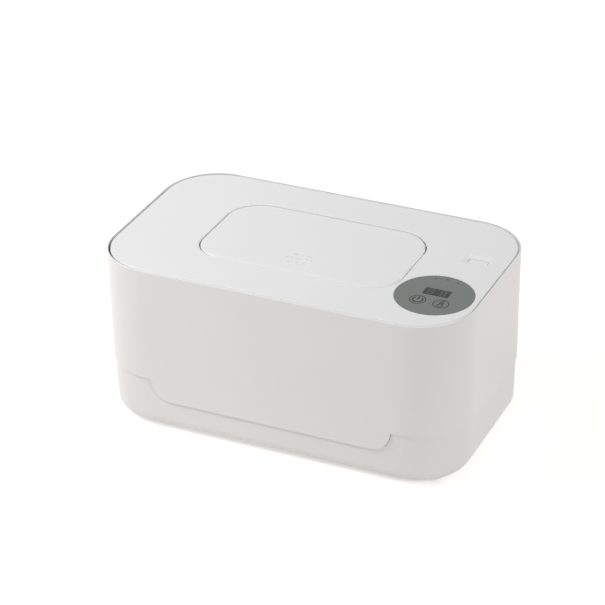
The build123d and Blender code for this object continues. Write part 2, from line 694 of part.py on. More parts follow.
def make_upper_shell():
    lean = (TOP - TAB_BOTTOM) * WALL_LEAN
    shell = loft([body_outline(lean, TAB_BOTTOM), body_outline(0, TOP)])
    shell = fillet(top_edges(shell), SHELL_EDGE)
    shell -= body_slab(RIM_WALL, SHELL_LEDGE, TOP)
    below = block(LEFT, RIGHT, FRONT, BACK, 0, PARTING_HEIGHT)
    shell -= body_slab(SHELL_WALL, TAB_BOTTOM, TOP)
    shell -= below - tab_prism(0)
    # room for the lid's left edge, which swings down inside the wall
    tail = body_slab(RIM_WALL + LID_GAP / 2, LINER_UNDER, SHELL_LEDGE)
    shell -= tail & block(LEFT, HINGE_X, FRONT, BACK, LINER_UNDER, SHELL_LEDGE)
    # the floor of the groove round the lid, clear of the corners that swing
    groove_floor = body_slab(RIM_WALL - SHELL_EDGE / 2, SHELL_LEDGE - ROOT, TOP - GROOVE_DEPTH)
    groove_floor -= body_slab(LID_INSET - LIP_GAP, SHELL_LEDGE - ROOT, TOP - GROOVE_DEPTH)
    shell += groove_floor & block(LEFT + CORNER_RADIUS, RIGHT, FRONT, BACK, SHELL_LEDGE - ROOT, TOP)

    inside = body_slab(SHELL_WALL - RIM_WALL, PARTING_HEIGHT, FLANGE_UNDER)
    shelf = body_slab(SHELL_WALL - RIM_WALL, SHELF_UNDER, FLANGE_UNDER)
    shelf -= body_slab(SHELL_WALL + SHELF_WIDTH, SHELF_UNDER, FLANGE_UNDER)
    half = SHELF_PAD_WIDTH / 2
    extras = block(LEFT, LEFT + SHELF_PAD_REACH, -half, half, SHELF_UNDER - SHELF_PAD_DEPTH, FLANGE_UNDER)
    extras += block(STRIKE_SCREW_X - STRIKE_PAD, RIGHT, BUTTON_Y - STRIKE_LENGTH, BUTTON_Y + STRIKE_LENGTH,
                    SHELF_UNDER - STRIKE_PAD, FLANGE_UNDER)
    boss_radius = SCREW_RADIUS + BOSS_WALL
    for x, y in TUB_SCREW_PLACES:
        extras += post(x, y, SHELF_UNDER - TUB_BOSS_DEPTH, FLANGE_UNDER, boss_radius)
    for x, y in PILLARS:
        extras += post(x, y, PILLAR_TOP, FLANGE_UNDER, boss_radius + PILLAR_BOSS_EXTRA)
        sx, sy = math.copysign(1, x), math.copysign(1, y)
        corner = (sx * (RIGHT - CORNER_RADIUS), sy * (BACK - CORNER_RADIUS))
        angle = math.degrees(math.atan2(y - corner[1], x - corner[0]))
        reach = math.hypot(x - corner[0], y - corner[1])
        web = block(reach, CORNER_RADIUS, -RIB / 2, RIB / 2, LIP_TOP + REST_GAP, FLANGE_UNDER)
        extras += Pos(corner[0], corner[1], 0) * Rot(0, 0, angle) * web
    shell += shelf + (extras & inside)

    for x, y in TUB_SCREW_PLACES:
        shell -= post(x, y, SHELF_UNDER - TUB_SCREW_BITE, FLANGE_UNDER, SCREW_RADIUS)
    for x, y in PILLARS:
        shell -= post(x, y, PILLAR_TOP, PILLAR_TOP + HOUSING_SCREW_BITE + HOLE_SPARE, SCREW_RADIUS)
    for x, y in BRACKET_SCREW_PLACES + STRIKE_SCREW_PLACES:
        shell -= post(x, y, SHELF_UNDER - SMALL_HOLE_SPARE, FLANGE_UNDER, SMALL_SCREW_RADIUS)
    return shell


def make_base_housing():
    base = loft([body_outline(BASE_INSET + BASE_LEAN, FOOT_HEIGHT), body_outline(BASE_INSET, BASE_TOP)])
    base = fillet(bottom_edges(base), BASE_EDGE)
    base += body_slab(LIP_INSET, BASE_TOP - LIP_ROOT, LIP_TOP)
    cavity = body_slab(CAVITY_INSET, FLOOR_TOP, LIP_TOP)
    cavity = fillet(bottom_edges(cavity), BASE_EDGE - BASE_FLOOR)
    base -= cavity
    tab_floor = TAB_BOTTOM - CUT_PAST
    tab_room = body_slab(0, tab_floor, BASE_TOP) - body_slab(LIP_INSET, tab_floor, BASE_TOP)
    base -= tab_room & tab_prism(PARTING_GAP)

    root = FLOOR_TOP - ROOT
    inner = body_slab(CAVITY_INSET - ROOT, root, PILLAR_TOP)
    extras = Part()
    for x, y in PILLARS:
        extras += post(x, y, root, TUB_UNDER, PILLAR_RADIUS)
        extras += post(x, y, TUB_UNDER, PILLAR_TOP, PILLAR_NECK_RADIUS)
    for x, y in POWER_SCREW_PLACES:
        extras += post(x, y, root, POWER_BOARD_HEIGHT, POST_RADIUS)
    rib_left = SPREADER_LEFT + FILM_MARGIN + RIB_INSET
    rib_right = SPREADER_LEFT + SPREADER_LENGTH - FILM_MARGIN - RIB_INSET
    rib_half = SPREADER_WIDTH / 2 - FILM_MARGIN
    for y in (-2 * rib_half / 3, 0, 2 * rib_half / 3):
        extras += block(rib_left, rib_right, y - RIB / 2, y + RIB / 2, root, PAD_UNDER)
    for step in range(CROSS_RIBS):
        x = rib_left + (rib_right - rib_left) * (2 * step + 1) / (2 * CROSS_RIBS)
        extras += block(x - RIB / 2, x + RIB / 2, -rib_half, rib_half, root, PAD_UNDER)
    cradle = JACK_WIDTH / 2 + JACK_FIT
    jack_back = JACK_MOUTH - JACK_DEPTH
    for side in (-1, 1):
        edge = JACK_X + side * cradle
        extras += block(min(edge, edge + side * RIB), max(edge, edge + side * RIB),
                        jack_back, BACK, root, JACK_HEIGHT)
    extras += block(JACK_X - cradle, JACK_X + cradle, jack_back, BACK, root,
                    JACK_HEIGHT - JACK_TALL / 2)
    base += extras & inner

    for x, y in PILLARS:
        seat = FOOT_HEIGHT + COUNTERBORE_DEPTH
        base -= post(x, y, 0, seat, SCREW_HEAD_RADIUS + SCREW_FIT)
        base -= post(x, y, seat, PILLAR_TOP, SCREW_RADIUS + SCREW_FIT)
    for x, y in POWER_SCREW_PLACES:
        base -= post(x, y, POWER_BOARD_HEIGHT - POWER_SCREW_BITE - SMALL_HOLE_SPARE, POWER_BOARD_HEIGHT,
                     SMALL_SCREW_RADIUS)
    for x, y in FOOT_PLACES:
        base -= post(x, y, FOOT_HEIGHT, FOOT_HEIGHT + FOOT_SEAT, FOOT_RADIUS)
    base -= bar_y(jack_back, BACK, JACK_X, JACK_HEIGHT, JACK_BARREL_RADIUS + JACK_FIT)
    return base


def make_rubber_feet():
    feet = []
    for x, y in FOOT_PLACES:
        foot = post(x, y, 0, FOOT_HEIGHT + FOOT_SEAT, FOOT_RADIUS)
        feet.append(chamfer(bottom_edges(foot), FOOT_EDGE))
    return group(feet)


def make_housing_screws():
    seat = FOOT_HEIGHT + COUNTERBORE_DEPTH
    length = PILLAR_TOP - seat + HOUSING_SCREW_BITE
    return group(
        screw_up(x, y, seat, length, SCREW_RADIUS, SCREW_HEAD_RADIUS, SCREW_HEAD_HEIGHT) for x, y in PILLARS
    )


def make_wipe_tub():
    wide, deep = TUB_LENGTH + 2 * TUB_WALL, TUB_WIDTH + 2 * TUB_WALL
    tub = slab(TUB_MIDDLE, 0, wide, deep, TUB_CORNER + TUB_WALL, TUB_UNDER, FLANGE_TOP)
    tub = fillet(bottom_edges(tub), TUB_FLOOR_ROUND + TUB_WALL)
    tub += body_slab(FLANGE_INSET, FLANGE_UNDER, FLANGE_TOP)
    hollow = slab(TUB_MIDDLE, 0, TUB_LENGTH, TUB_WIDTH, TUB_CORNER, TUB_FLOOR_HEIGHT, FLANGE_TOP)
    tub -= fillet(bottom_edges(hollow), TUB_FLOOR_ROUND)
    for x, y in TUB_SCREW_PLACES:
        tub -= post(x, y, FLANGE_UNDER, FLANGE_TOP, SCREW_RADIUS + SCREW_FIT)
    for x, y in BRACKET_SCREW_PLACES + STRIKE_SCREW_PLACES:
        tub -= post(x, y, FLANGE_UNDER, FLANGE_TOP, SMALL_SCREW_RADIUS + SCREW_FIT)
    tub -= post(HARNESS_DROP_X, HARNESS_DROP_Y, FLANGE_UNDER, FLANGE_TOP, 2 * WIRE_RADIUS)
    return tub


def make_tub_screws():
    return group(
        screw_down(x, y, FLANGE_TOP, FLANGE_THICK + TUB_SCREW_BITE, SCREW_RADIUS,
                   SCREW_HEAD_RADIUS - TUB_HEAD_TRIM, SMALL_HEAD_HEIGHT)
        for x, y in TUB_SCREW_PLACES
    )


# The lid's hinge, on two brackets screwed through the tub's flange


def make_hinge_brackets():
    brackets = []
    foot_top = FLANGE_TOP + BRACKET_PLATE
    neck_left, neck_right = HINGE_X + HINGE_NECK_START, HINGE_X + HINGE_NECK_START + HINGE_NECK
    shoulder = HINGE_Z - HINGE_BARREL_RADIUS - HINGE_SHOULDER_GAP
    for y in HINGE_YS:
        half = HINGE_FOOT / 2
        bracket = block(HINGE_X - HINGE_FOOT_REACH, neck_right, y - half, y + half, FLANGE_TOP, foot_top)
        half = HINGE_NECK_WIDTH / 2
        bracket += block(neck_left, neck_right, y - half, y + half, foot_top, shoulder)
        half = HINGE_EAR_WIDTH / 2
        bracket += block(neck_left, neck_right, y - half, y + half, shoulder, HINGE_Z - HINGE_NECK_DROP)
        bracket += bar_y(y - half, y + half, HINGE_X, HINGE_Z, HINGE_EAR_RADIUS)
        bracket -= bar_y(y - half, y + half, HINGE_X, HINGE_Z, HINGE_PIN_RADIUS + HINGE_RUNNING_GAP)
        for x, screw_y in BRACKET_SCREW_PLACES:
            bracket -= post(x, screw_y, FLANGE_TOP, foot_top, SMALL_SCREW_RADIUS + SCREW_FIT / 2)
        brackets.append(bracket)
    return group(brackets)


def make_bracket_screws():
    seat = FLANGE_TOP + BRACKET_PLATE
    length = BRACKET_PLATE + FLANGE_THICK + SHELF_THICK
    return group(small_screw_down(x, y, seat, length) for x, y in BRACKET_SCREW_PLACES)


def make_lid_hinge_pins():
    half = HINGE_PIN_LENGTH / 2
    return group(bar_y(y - half, y + half, HINGE_X, HINGE_Z, HINGE_PIN_RADIUS) for y in HINGE_YS)


# The catch at the lid's right end


def make_latch_strike():
    wall = RIGHT - SHELL_WALL - LIP_GAP
    foot_top = FLANGE_TOP + BRACKET_PLATE
    foot_half = STRIKE_SCREW_SPACING / 2 + SMALL_HEAD_RADIUS + STRIKE_FOOT_MARGIN
    foot_left = STRIKE_SCREW_X - SMALL_HEAD_RADIUS
    half = STRIKE_LENGTH / 2
    strike_top = STRIKE_UNDER + STRIKE_HEIGHT
    foot_right = RIGHT - FLANGE_INSET
    strike = block(foot_left, foot_right, BUTTON_Y - foot_half, BUTTON_Y + foot_half, FLANGE_TOP, foot_top)
    strike += block(foot_right - STRIKE_PLATE, foot_right, BUTTON_Y - half, BUTTON_Y + half,
                    FLANGE_TOP, strike_top)
    strike += block(BOLT_NOSE - STRIKE_BITE, wall, BUTTON_Y - half, BUTTON_Y + half, STRIKE_UNDER, strike_top)
    for x, y in STRIKE_SCREW_PLACES:
        strike -= post(x, y, FLANGE_TOP, foot_top, SMALL_SCREW_RADIUS + SCREW_FIT / 2)
    return strike


def make_strike_screws():
    seat = FLANGE_TOP + BRACKET_PLATE
    length = BRACKET_PLATE + FLANGE_THICK + SHELF_THICK
    return group(small_screw_down(x, y, seat, length) for x, y in STRIKE_SCREW_PLACES)


def make_latch_bolt():
    half = BOLT_WIDTH / 2
    bolt = block(BOLT_BACK, BOLT_NOSE, BUTTON_Y - half, BUTTON_Y + half, BOLT_UNDER, BOLT_TOP)
    line = RAMP_LINE - RAMP_GAP * math.sqrt(2)  # x + z along the ramp's slope
    ramp_top = BOLT_TOP + RAMP_HEIGHT
    corners = [
        (BOLT_BACK, BOLT_TOP),
        (line - BOLT_TOP, BOLT_TOP),
        (line - ramp_top, ramp_top),
        (BOLT_BACK, ramp_top),
    ]
    half = BUTTON_STEM_WIDTH / 2
    ramp = extrude(Plane.XZ * make_face(Polyline(*corners, close=True)), half, both=True)
    return bolt + Pos(0, BUTTON_Y, 0) * ramp


def make_bolt_spring():
    place = Pos(BOLT_BACK - BOLT_SPRING_LENGTH, BUTTON_Y, (BOLT_UNDER + BOLT_TOP) / 2)
    return place * Rot(0, 90, 0) * coil(BOLT_SPRING_LENGTH, BOLT_SPRING_RADIUS, BOLT_SPRING_TURNS)


def make_release_button():
    flange_length = BUTTON_LENGTH + 2 * BUTTON_FLANGE_MARGIN
    flange_width = BUTTON_WIDTH + 2 * BUTTON_FLANGE_MARGIN
    button = slab(BUTTON_X, BUTTON_Y, BUTTON_LENGTH, BUTTON_WIDTH, BUTTON_CORNER,
                  BUTTON_TOP - BUTTON_HEAD, BUTTON_TOP)
    button = fillet(top_edges(button), BUTTON_EDGE)
    button += slab(BUTTON_X, BUTTON_Y, flange_length, flange_width, BUTTON_CORNER,
                   BUTTON_FLANGE_UNDER, BUTTON_FLANGE_TOP)
    stem_left, stem_right = BUTTON_X - BUTTON_STEM_LENGTH / 2, BUTTON_X + BUTTON_STEM_LENGTH / 2
    corners = [
        (stem_right, BUTTON_FLANGE_UNDER),
        (stem_right, STEM_BOTTOM),
        (RAMP_LINE - STEM_BOTTOM, STEM_BOTTOM),
        (stem_left, RAMP_LINE - stem_left),
        (stem_left, BUTTON_FLANGE_UNDER),
    ]
    stem = extrude(Plane.XZ * make_face(Polyline(*corners, close=True)), BUTTON_STEM_WIDTH / 2, both=True)
    return button + Pos(0, BUTTON_Y, 0) * stem


# The lid


def flap_slab(grow, z0, z1):
    """The flap's outline, grown on all sides, with its own corners at the front and at the back."""
    face = Rectangle(FLAP_LENGTH + 2 * grow, FLAP_WIDTH + 2 * grow)
    face = fillet(face.vertices().sort_by(Axis.Y)[:2], FLAP_FRONT_CORNER + grow)
    face = fillet(face.vertices().sort_by(Axis.Y)[-2:], FLAP_BACK_CORNER + grow)
    return extrude(Pos(FLAP_X, FLAP_Y, z0) * face, z1 - z0)


def room_slab(grow, z0, z1):
    """The room under the flap, grown on all sides."""
    length = FLAP_LENGTH + 2 * (FLAP_GAP - LEDGE_SIDE + grow)
    width = WELL_BACK - ROOM_FRONT + 2 * grow
    return slab(FLAP_X, (WELL_BACK + ROOM_FRONT) / 2, length, width, WELL_CORNER + grow, z0, z1)


def make_lid_cover():
    inside = body_slab(LID_INSET, LINER_UNDER, TOP)
    opening = flap_slab(FLAP_GAP, LEDGE_TOP, TOP)
    plate = body_slab(LID_INSET, PLATE_UNDER, TOP) - opening
    plate = fillet(plate.faces().sort_by(Axis.Z)[-1].inner_wires()[0].edges(), OPENING_EDGE)
    plate = fillet(plate.faces().sort_by(Axis.Z)[-1].outer_wire().edges(), LID_EDGE)
    skirt = body_slab(LID_INSET, SKIRT_BOTTOM, PLATE_UNDER)
    skirt -= body_slab(LID_INSET + SKIRT_WALL, SKIRT_BOTTOM, PLATE_UNDER)
    skirt -= block(LEFT, LINER_LEFT, FRONT, BACK, SKIRT_BOTTOM, PLATE_UNDER)
    cover = plate + skirt
    # the walls and the ledge that hang under the flap's opening
    cover += flap_slab(FLAP_GAP + WELL_WALL, LEDGE_UNDER, PLATE_UNDER)
    cover += room_slab(WELL_WALL, PORT_FLOOR, PLATE_UNDER)

    # bosses for the flap's pins, the button's guide and the screws from the liner
    for side in (-1, 1):
        x0 = FLAP_X + side * (FLAP_EDGE_AT_HINGE + FLAP_GAP)
        x1 = FLAP_X + side * (FLAP_PIN_X + FLAP_PIN_LENGTH / 2 + FLAP_BOSS_END)
        half = FLAP_BOSS_WIDTH / 2
        cover += block(min(x0, x1), max(x0, x1), FLAP_HINGE_Y - half, FLAP_HINGE_Y + half,
                       LEDGE_UNDER, PLATE_UNDER)
    guide_length = BUTTON_LENGTH + 2 * BUTTON_FLANGE_MARGIN + 2 * BUTTON_GAP
    guide_width = BUTTON_WIDTH + 2 * BUTTON_FLANGE_MARGIN + 2 * BUTTON_GAP
    guide_bottom = BUTTON_FLANGE_UNDER - BUTTON_TRAVEL
    cover += slab(BUTTON_X, BUTTON_Y, guide_length + 2 * RIB, guide_width + 2 * RIB, BUTTON_CORNER + RIB,
                  guide_bottom, PLATE_UNDER)
    for x, y in LID_SCREW_PLACES:
        cover += post(x, y, LINER_TOP, PLATE_UNDER, SMALL_SCREW_RADIUS + BOSS_WALL)

    # the seat of the control panel
    seat_bottom = PLATE_UNDER - PANEL_SEAT_DROP
    cover += post(PANEL_X, PANEL_Y, seat_bottom, PLATE_UNDER, PANEL_RADIUS + PANEL_SEAT) & inside
    cover -= post(PANEL_X, PANEL_Y, PANEL_UNDER, TOP, PANEL_RADIUS + PANEL_GAP)
    cover -= post(PANEL_X, PANEL_Y, seat_bottom, PANEL_UNDER, PANEL_RADIUS - PANEL_SEAT)

    # the barrels of the lid's hinge, half below the plate
    half = HINGE_PIN_LENGTH / 2
    for y in HINGE_YS:
        cover += bar_y(y - half, y + half, HINGE_X, HINGE_Z, HINGE_BARREL_RADIUS) & body_slab(
            LID_INSET, LINER_UNDER, HINGE_Z
        )
        ear = HINGE_EAR_WIDTH / 2 + HINGE_POCKET_GAP
        cover -= bar_y(y - ear, y + ear, HINGE_X, HINGE_Z, HINGE_EAR_RADIUS + HINGE_POCKET_GAP)
        cover -= block(HINGE_X - HINGE_BARREL_RADIUS, HINGE_X + HINGE_BARREL_RADIUS, y - ear, y + ear,
                       HINGE_Z - HINGE_BARREL_RADIUS, PLATE_UNDER)
        cover -= bar_y(y - half, y + half, HINGE_X, HINGE_Z, HINGE_PIN_RADIUS)
    cover -= block(HINGE_X - CHANNEL_LEFT, HINGE_X + CHANNEL_RIGHT, CROSSING_Y - CHANNEL_FRONT,
                   CROSSING_Y + CHANNEL_BACK, PLATE_UNDER, HINGE_Z + CHANNEL_RISE)

    cover -= flap_slab(FLAP_GAP, LEDGE_TOP, PLATE_UNDER)
    cover -= room_slab(0, PORT_FLOOR, PLATE_UNDER)
    for side in (-1, 1):
        middle = FLAP_X + side * FLAP_PIN_X
        cover -= bar_x(middle - FLAP_PIN_LENGTH / 2, middle + FLAP_PIN_LENGTH / 2, FLAP_HINGE_Y, FLAP_HINGE_Z,
                       FLAP_PIN_RADIUS)
    cover -= post(FLAP_X, TOUCH_Y, LEDGE_UNDER, LEDGE_TOP, PLUNGER_RADIUS + PLUNGER_GAP)

    # the sloped pocket, with the release button's hole and guide below it
    mouth = Pos(BUTTON_X, BUTTON_Y, TOP) * RectangleRounded(POCKET_LENGTH, POCKET_WIDTH, POCKET_CORNER)
    floor = Pos(BUTTON_X, BUTTON_Y, BUTTON_TOP) * RectangleRounded(
        POCKET_LENGTH - 2 * POCKET_SLOPE, POCKET_WIDTH - 2 * POCKET_SLOPE, BUTTON_CORNER
    )
    cover -= loft([floor, mouth])
    cover -= slab(BUTTON_X, BUTTON_Y, BUTTON_LENGTH + 2 * BUTTON_GAP, BUTTON_WIDTH + 2 * BUTTON_GAP,
                  BUTTON_CORNER, PLATE_UNDER, BUTTON_TOP)
    cover -= slab(BUTTON_X, BUTTON_Y, guide_length, guide_width, BUTTON_CORNER, guide_bottom, PLATE_UNDER)
    for x, y in LID_SCREW_PLACES:
        cover -= post(x, y, LINER_TOP, PLATE_UNDER - LID_HOLE_ROOF, SMALL_SCREW_RADIUS)
    return cover


def liner_slab(margin, z0, z1):
    length = LINER_RIGHT - LINER_LEFT - 2 * margin
    x = (LINER_RIGHT + LINER_LEFT) / 2
    return slab(x, 0, length, 2 * LINER_BACK - 2 * margin, LINER_CORNER - margin, z0, z1)


def gasket_ring(z0, z1):
    rings = [
        slab(TUB_MIDDLE, 0, TUB_LENGTH + 2 * grow, TUB_WIDTH + 2 * grow, TUB_CORNER + grow, z0, z1)
        for grow in (GASKET_OFFSET + GASKET_WIDTH, GASKET_OFFSET)
    ]
    return rings[0] - rings[1]


def make_lid_liner():
    liner = liner_slab(0, LINER_UNDER, LINER_WALL_TOP) - liner_slab(LINER_WALL, LINER_TOP, LINER_WALL_TOP)
    for x, y in BOARD_SCREW_PLACES:
        liner += post(x, y, LINER_TOP, BOARD_UNDER, POST_RADIUS)
    rail_inner, rail_outer = BOLT_WIDTH / 2 + BOLT_GAP, BOLT_WIDTH / 2 + BOLT_GAP + RIB
    rail_left, rail_right = BOLT_BACK + RAIL_START, LINER_RIGHT - LINER_WALL
    for side in (-1, 1):
        y0, y1 = BUTTON_Y + side * rail_inner, BUTTON_Y + side * rail_outer
        liner += block(rail_left, rail_right, min(y0, y1), max(y0, y1), LINER_TOP, BOLT_TOP + BOLT_GAP)
    bridge_left = BUTTON_X + BUTTON_STEM_LENGTH / 2 + BRIDGE_GAP
    liner += block(bridge_left, bridge_left + BRIDGE_LENGTH, BUTTON_Y - rail_outer, BUTTON_Y + rail_outer,
                   BOLT_TOP + BOLT_GAP, BOLT_TOP + BOLT_GAP + RIB)
    spring_end = BOLT_BACK - BOLT_SPRING_LENGTH
    half = SPRING_STOP_WIDTH / 2
    liner += block(spring_end - RIB, spring_end, BUTTON_Y - half, BUTTON_Y + half,
                   LINER_TOP, BOLT_TOP + SPRING_STOP_RISE)
    liner -= block(LINER_RIGHT - LINER_WALL, LINER_RIGHT, BUTTON_Y - rail_inner, BUTTON_Y + rail_inner,
                   LINER_TOP, BOLT_TOP + BOLT_GAP)
    liner -= oval(PORT_LENGTH + 2 * PORT_LINER_MARGIN, PORT_WIDTH + 2 * PORT_LINER_MARGIN,
                  LINER_UNDER, LINER_TOP)
    liner -= gasket_ring(LINER_UNDER, LINER_UNDER + GASKET_SEAT)
    for x, y in LID_SCREW_PLACES:
        liner -= post(x, y, LINER_UNDER, LINER_TOP, SMALL_SCREW_RADIUS + SCREW_FIT)
    for x, y in BOARD_SCREW_PLACES:
        liner -= post(x, y, LINER_TOP + BOARD_HOLE_FLOOR, BOARD_UNDER, SMALL_SCREW_RADIUS)
    for x, y in PORT_SCREW_PLACES:
        liner -= post(x, y, LINER_UNDER, LINER_TOP, SMALL_SCREW_RADIUS + SCREW_FIT)
    seat_bottom = PLATE_UNDER - PANEL_SEAT_DROP
    liner -= post(PANEL_X, PANEL_Y, seat_bottom - REST_GAP, LINER_WALL_TOP,
                  PANEL_RADIUS + PANEL_SEAT + REST_GAP)
    notch = LINER_LEFT + LINER_CORNER
    liner -= block(LINER_LEFT, notch, CROSSING_Y - NOTCH_FRONT, CROSSING_Y + NOTCH_BACK,
                   HARNESS_EXIT_Z - NOTCH_DROP, LINER_WALL_TOP)
    return liner


def make_lid_gasket():
    return gasket_ring(FLANGE_TOP + REST_GAP, LINER_UNDER + GASKET_SEAT)


def make_lid_screws():
    length = LID_DEPTH - LID_PLATE - LID_SCREW_SHORT
    return group(small_screw_up(x, y, LINER_UNDER, length) for x, y in LID_SCREW_PLACES)


def make_dispenser_plate():
    plate = room_slab(WELL_WALL, LINER_TOP, PORT_FLOOR)
    plate -= oval(PORT_LENGTH, PORT_WIDTH, LINER_TOP, PORT_FLOOR)
    lip = MEMBRANE_THICK - MEMBRANE_LIP_THICK
    plate -= oval(PORT_LENGTH + 2 * MEMBRANE_LIP, PORT_WIDTH + 2 * MEMBRANE_LIP, PORT_FLOOR - lip, PORT_FLOOR)
    for x, y in PORT_SCREW_PLACES:
        plate -= post(x, y, LINER_TOP, PORT_FLOOR - SCREW_ROOF, SMALL_SCREW_RADIUS)
    return plate


def make_port_screws():
    length = LINER_FLOOR + DISPENSER_PLATE - SCREW_ROOF
    return group(small_screw_up(x, y, LINER_UNDER, length) for x, y in PORT_SCREW_PLACES)


def make_port_membrane():
    lip = MEMBRANE_THICK - MEMBRANE_LIP_THICK
    membrane = oval(PORT_LENGTH + 2 * MEMBRANE_LIP, PORT_WIDTH + 2 * MEMBRANE_LIP,
                    PORT_FLOOR - lip, PORT_FLOOR)
    membrane += oval(PORT_LENGTH, PORT_WIDTH, PORT_FLOOR - MEMBRANE_THICK, PORT_FLOOR)
    return membrane - oval(SLOT_LENGTH, SLOT_WIDTH, PORT_FLOOR - MEMBRANE_THICK, PORT_FLOOR)


def flap_ring(grow, z0, z1):
    length, width = PORT_LENGTH + 2 * FLAP_RING_MARGIN, PORT_WIDTH + 2 * FLAP_RING_MARGIN
    outer = oval(length + 2 * grow, width + 2 * grow, z0, z1)
    return outer - oval(length - 2 * FLAP_RING_WALL - 2 * grow, width - 2 * FLAP_RING_WALL - 2 * grow, z0, z1)


def make_flap():
    flap = fillet(top_edges(flap_slab(0, FLAP_UNDER, TOP)), FLAP_EDGE)
    flap += flap_ring(0, FLAP_RING_BOTTOM, FLAP_UNDER)
    middle = FLAP_FRONT + GRIP_SETBACK
    for step, length in zip((1, 0, -1), GRIP_LENGTHS):
        mark = SlotOverall(length, GRIP_WIDTH)
        mark = Pos(FLAP_X + GRIP_SIDE, middle + step * GRIP_PITCH, TOP - GRIP_DEPTH) * mark
        flap -= extrude(mark, GRIP_DEPTH)
    claw = FLAP_X + PLUNGER_RADIUS + PLUNGER_GAP
    flap += block(claw, claw + RIB, TOUCH_Y - CLAW_WIDTH / 2, TOUCH_Y + CLAW_WIDTH / 2,
                  LEDGE_TOP + REST_GAP, FLAP_UNDER)
    half = FLAP_BARREL_LENGTH / 2
    reach = FLAP_PIN_LENGTH / 2
    for side in (-1, 1):
        middle = FLAP_X + side * (FLAP_EDGE_AT_HINGE - FLAP_BARREL_INSET - half)
        barrel = bar_x(middle - half, middle + half, FLAP_HINGE_Y, FLAP_HINGE_Z - FLAP_HINGE_DROP / 2,
                       FLAP_BARREL_RADIUS)
        flap += barrel & block(LEFT, RIGHT, FRONT, BACK, LEDGE_UNDER, FLAP_HINGE_Z)
        middle = FLAP_X + side * FLAP_PIN_X
        flap -= bar_x(middle - reach, middle + reach, FLAP_HINGE_Y, FLAP_HINGE_Z,
                      FLAP_PIN_RADIUS + FLAP_PIN_GAP)
    return flap


def make_flap_seal():
    return flap_ring(FLAP_SEAL_LIP, FLAP_SEAL_BOTTOM, FLAP_RING_BOTTOM)


def make_flap_hinge_pins():
    middles = (FLAP_X - FLAP_PIN_X, FLAP_X + FLAP_PIN_X)
    half = FLAP_PIN_LENGTH / 2
    return group(bar_x(x - half, x + half, FLAP_HINGE_Y, FLAP_HINGE_Z, FLAP_PIN_RADIUS) for x in middles)


def make_touch_latch_body():
    half_x, half_y = TOUCH_LENGTH / 2, TOUCH_WIDTH / 2
    body = block(FLAP_X - half_x, FLAP_X + half_x, TOUCH_Y - half_y, TOUCH_Y + half_y,
                 TOUCH_BOTTOM, LEDGE_UNDER)
    return body - post(FLAP_X, TOUCH_Y, TOUCH_BOTTOM + TOUCH_FLOOR, LEDGE_UNDER, PLUNGER_RADIUS + PLUNGER_GAP)


def make_touch_latch_plunger():
    plunger = post(FLAP_X, TOUCH_Y, PLUNGER_BOTTOM, PLUNGER_TOP, PLUNGER_RADIUS)
    return chamfer(top_edges(plunger), PLUNGER_EDGE)


def make_touch_latch_spring():
    floor = TOUCH_BOTTOM + TOUCH_FLOOR
    spring = coil(PLUNGER_BOTTOM - floor, PLUNGER_RADIUS - 2 * SPRING_WIRE, TOUCH_SPRING_TURNS)
    return Pos(FLAP_X, TOUCH_Y, floor) * spring


# The control panel and its board


def make_control_panel():
    disc = post(PANEL_X, PANEL_Y, PANEL_UNDER, TOP, PANEL_RADIUS)
    disc = fillet(top_edges(disc), PANEL_EDGE)
    disc -= slab(DISPLAY_X, DISPLAY_Y, DISPLAY_LENGTH, DISPLAY_WIDTH, DISPLAY_CORNER, PANEL_UNDER, TOP)
    for x, y in LAMP_PLACES:
        disc -= post(x, y, PANEL_UNDER, TOP, LAMP_RADIUS)
    return disc


def make_display_window():
    return slab(DISPLAY_X, DISPLAY_Y, DISPLAY_LENGTH, DISPLAY_WIDTH, DISPLAY_CORNER, TOP - DISPLAY_LENS, TOP)


def make_display_module():
    length, width = DISPLAY_LENGTH + DISPLAY_BODY_MARGIN, DISPLAY_WIDTH + DISPLAY_BODY_MARGIN
    module = slab(DISPLAY_X, DISPLAY_Y, length, width, MODULE_CORNER, BOARD_TOP, PANEL_UNDER)
    neck = slab(DISPLAY_X, DISPLAY_Y, DISPLAY_LENGTH, DISPLAY_WIDTH, DISPLAY_CORNER,
                PANEL_UNDER, TOP - DISPLAY_LENS)
    return module + neck


def make_indicator_lamps():
    lamps = []
    for x, y in LAMP_PLACES:
        body = post(x, y, BOARD_TOP, BOARD_TOP + LAMP_BODY_HEIGHT, LAMP_BODY_RADIUS)
        lamps.append(body + post(x, y, BOARD_TOP + LAMP_BODY_HEIGHT, TOP, LAMP_RADIUS))
    return group(lamps)


def make_touch_springs():
    length = PANEL_UNDER - BOARD_TOP
    return group(Pos(x, KEY_Y, BOARD_TOP) * coil(length, KEY_SPRING_RADIUS, KEY_SPRING_TURNS) for x in KEY_XS)


def make_control_board():
    board = slab(PANEL_X, BOARD_Y, BOARD_LENGTH, BOARD_WIDTH, BOARD_CORNER, BOARD_UNDER, BOARD_TOP)
    for x, y in BOARD_SCREW_PLACES:
        board -= post(x, y, BOARD_UNDER, BOARD_TOP, SMALL_SCREW_RADIUS + SCREW_FIT / 2)
    return board


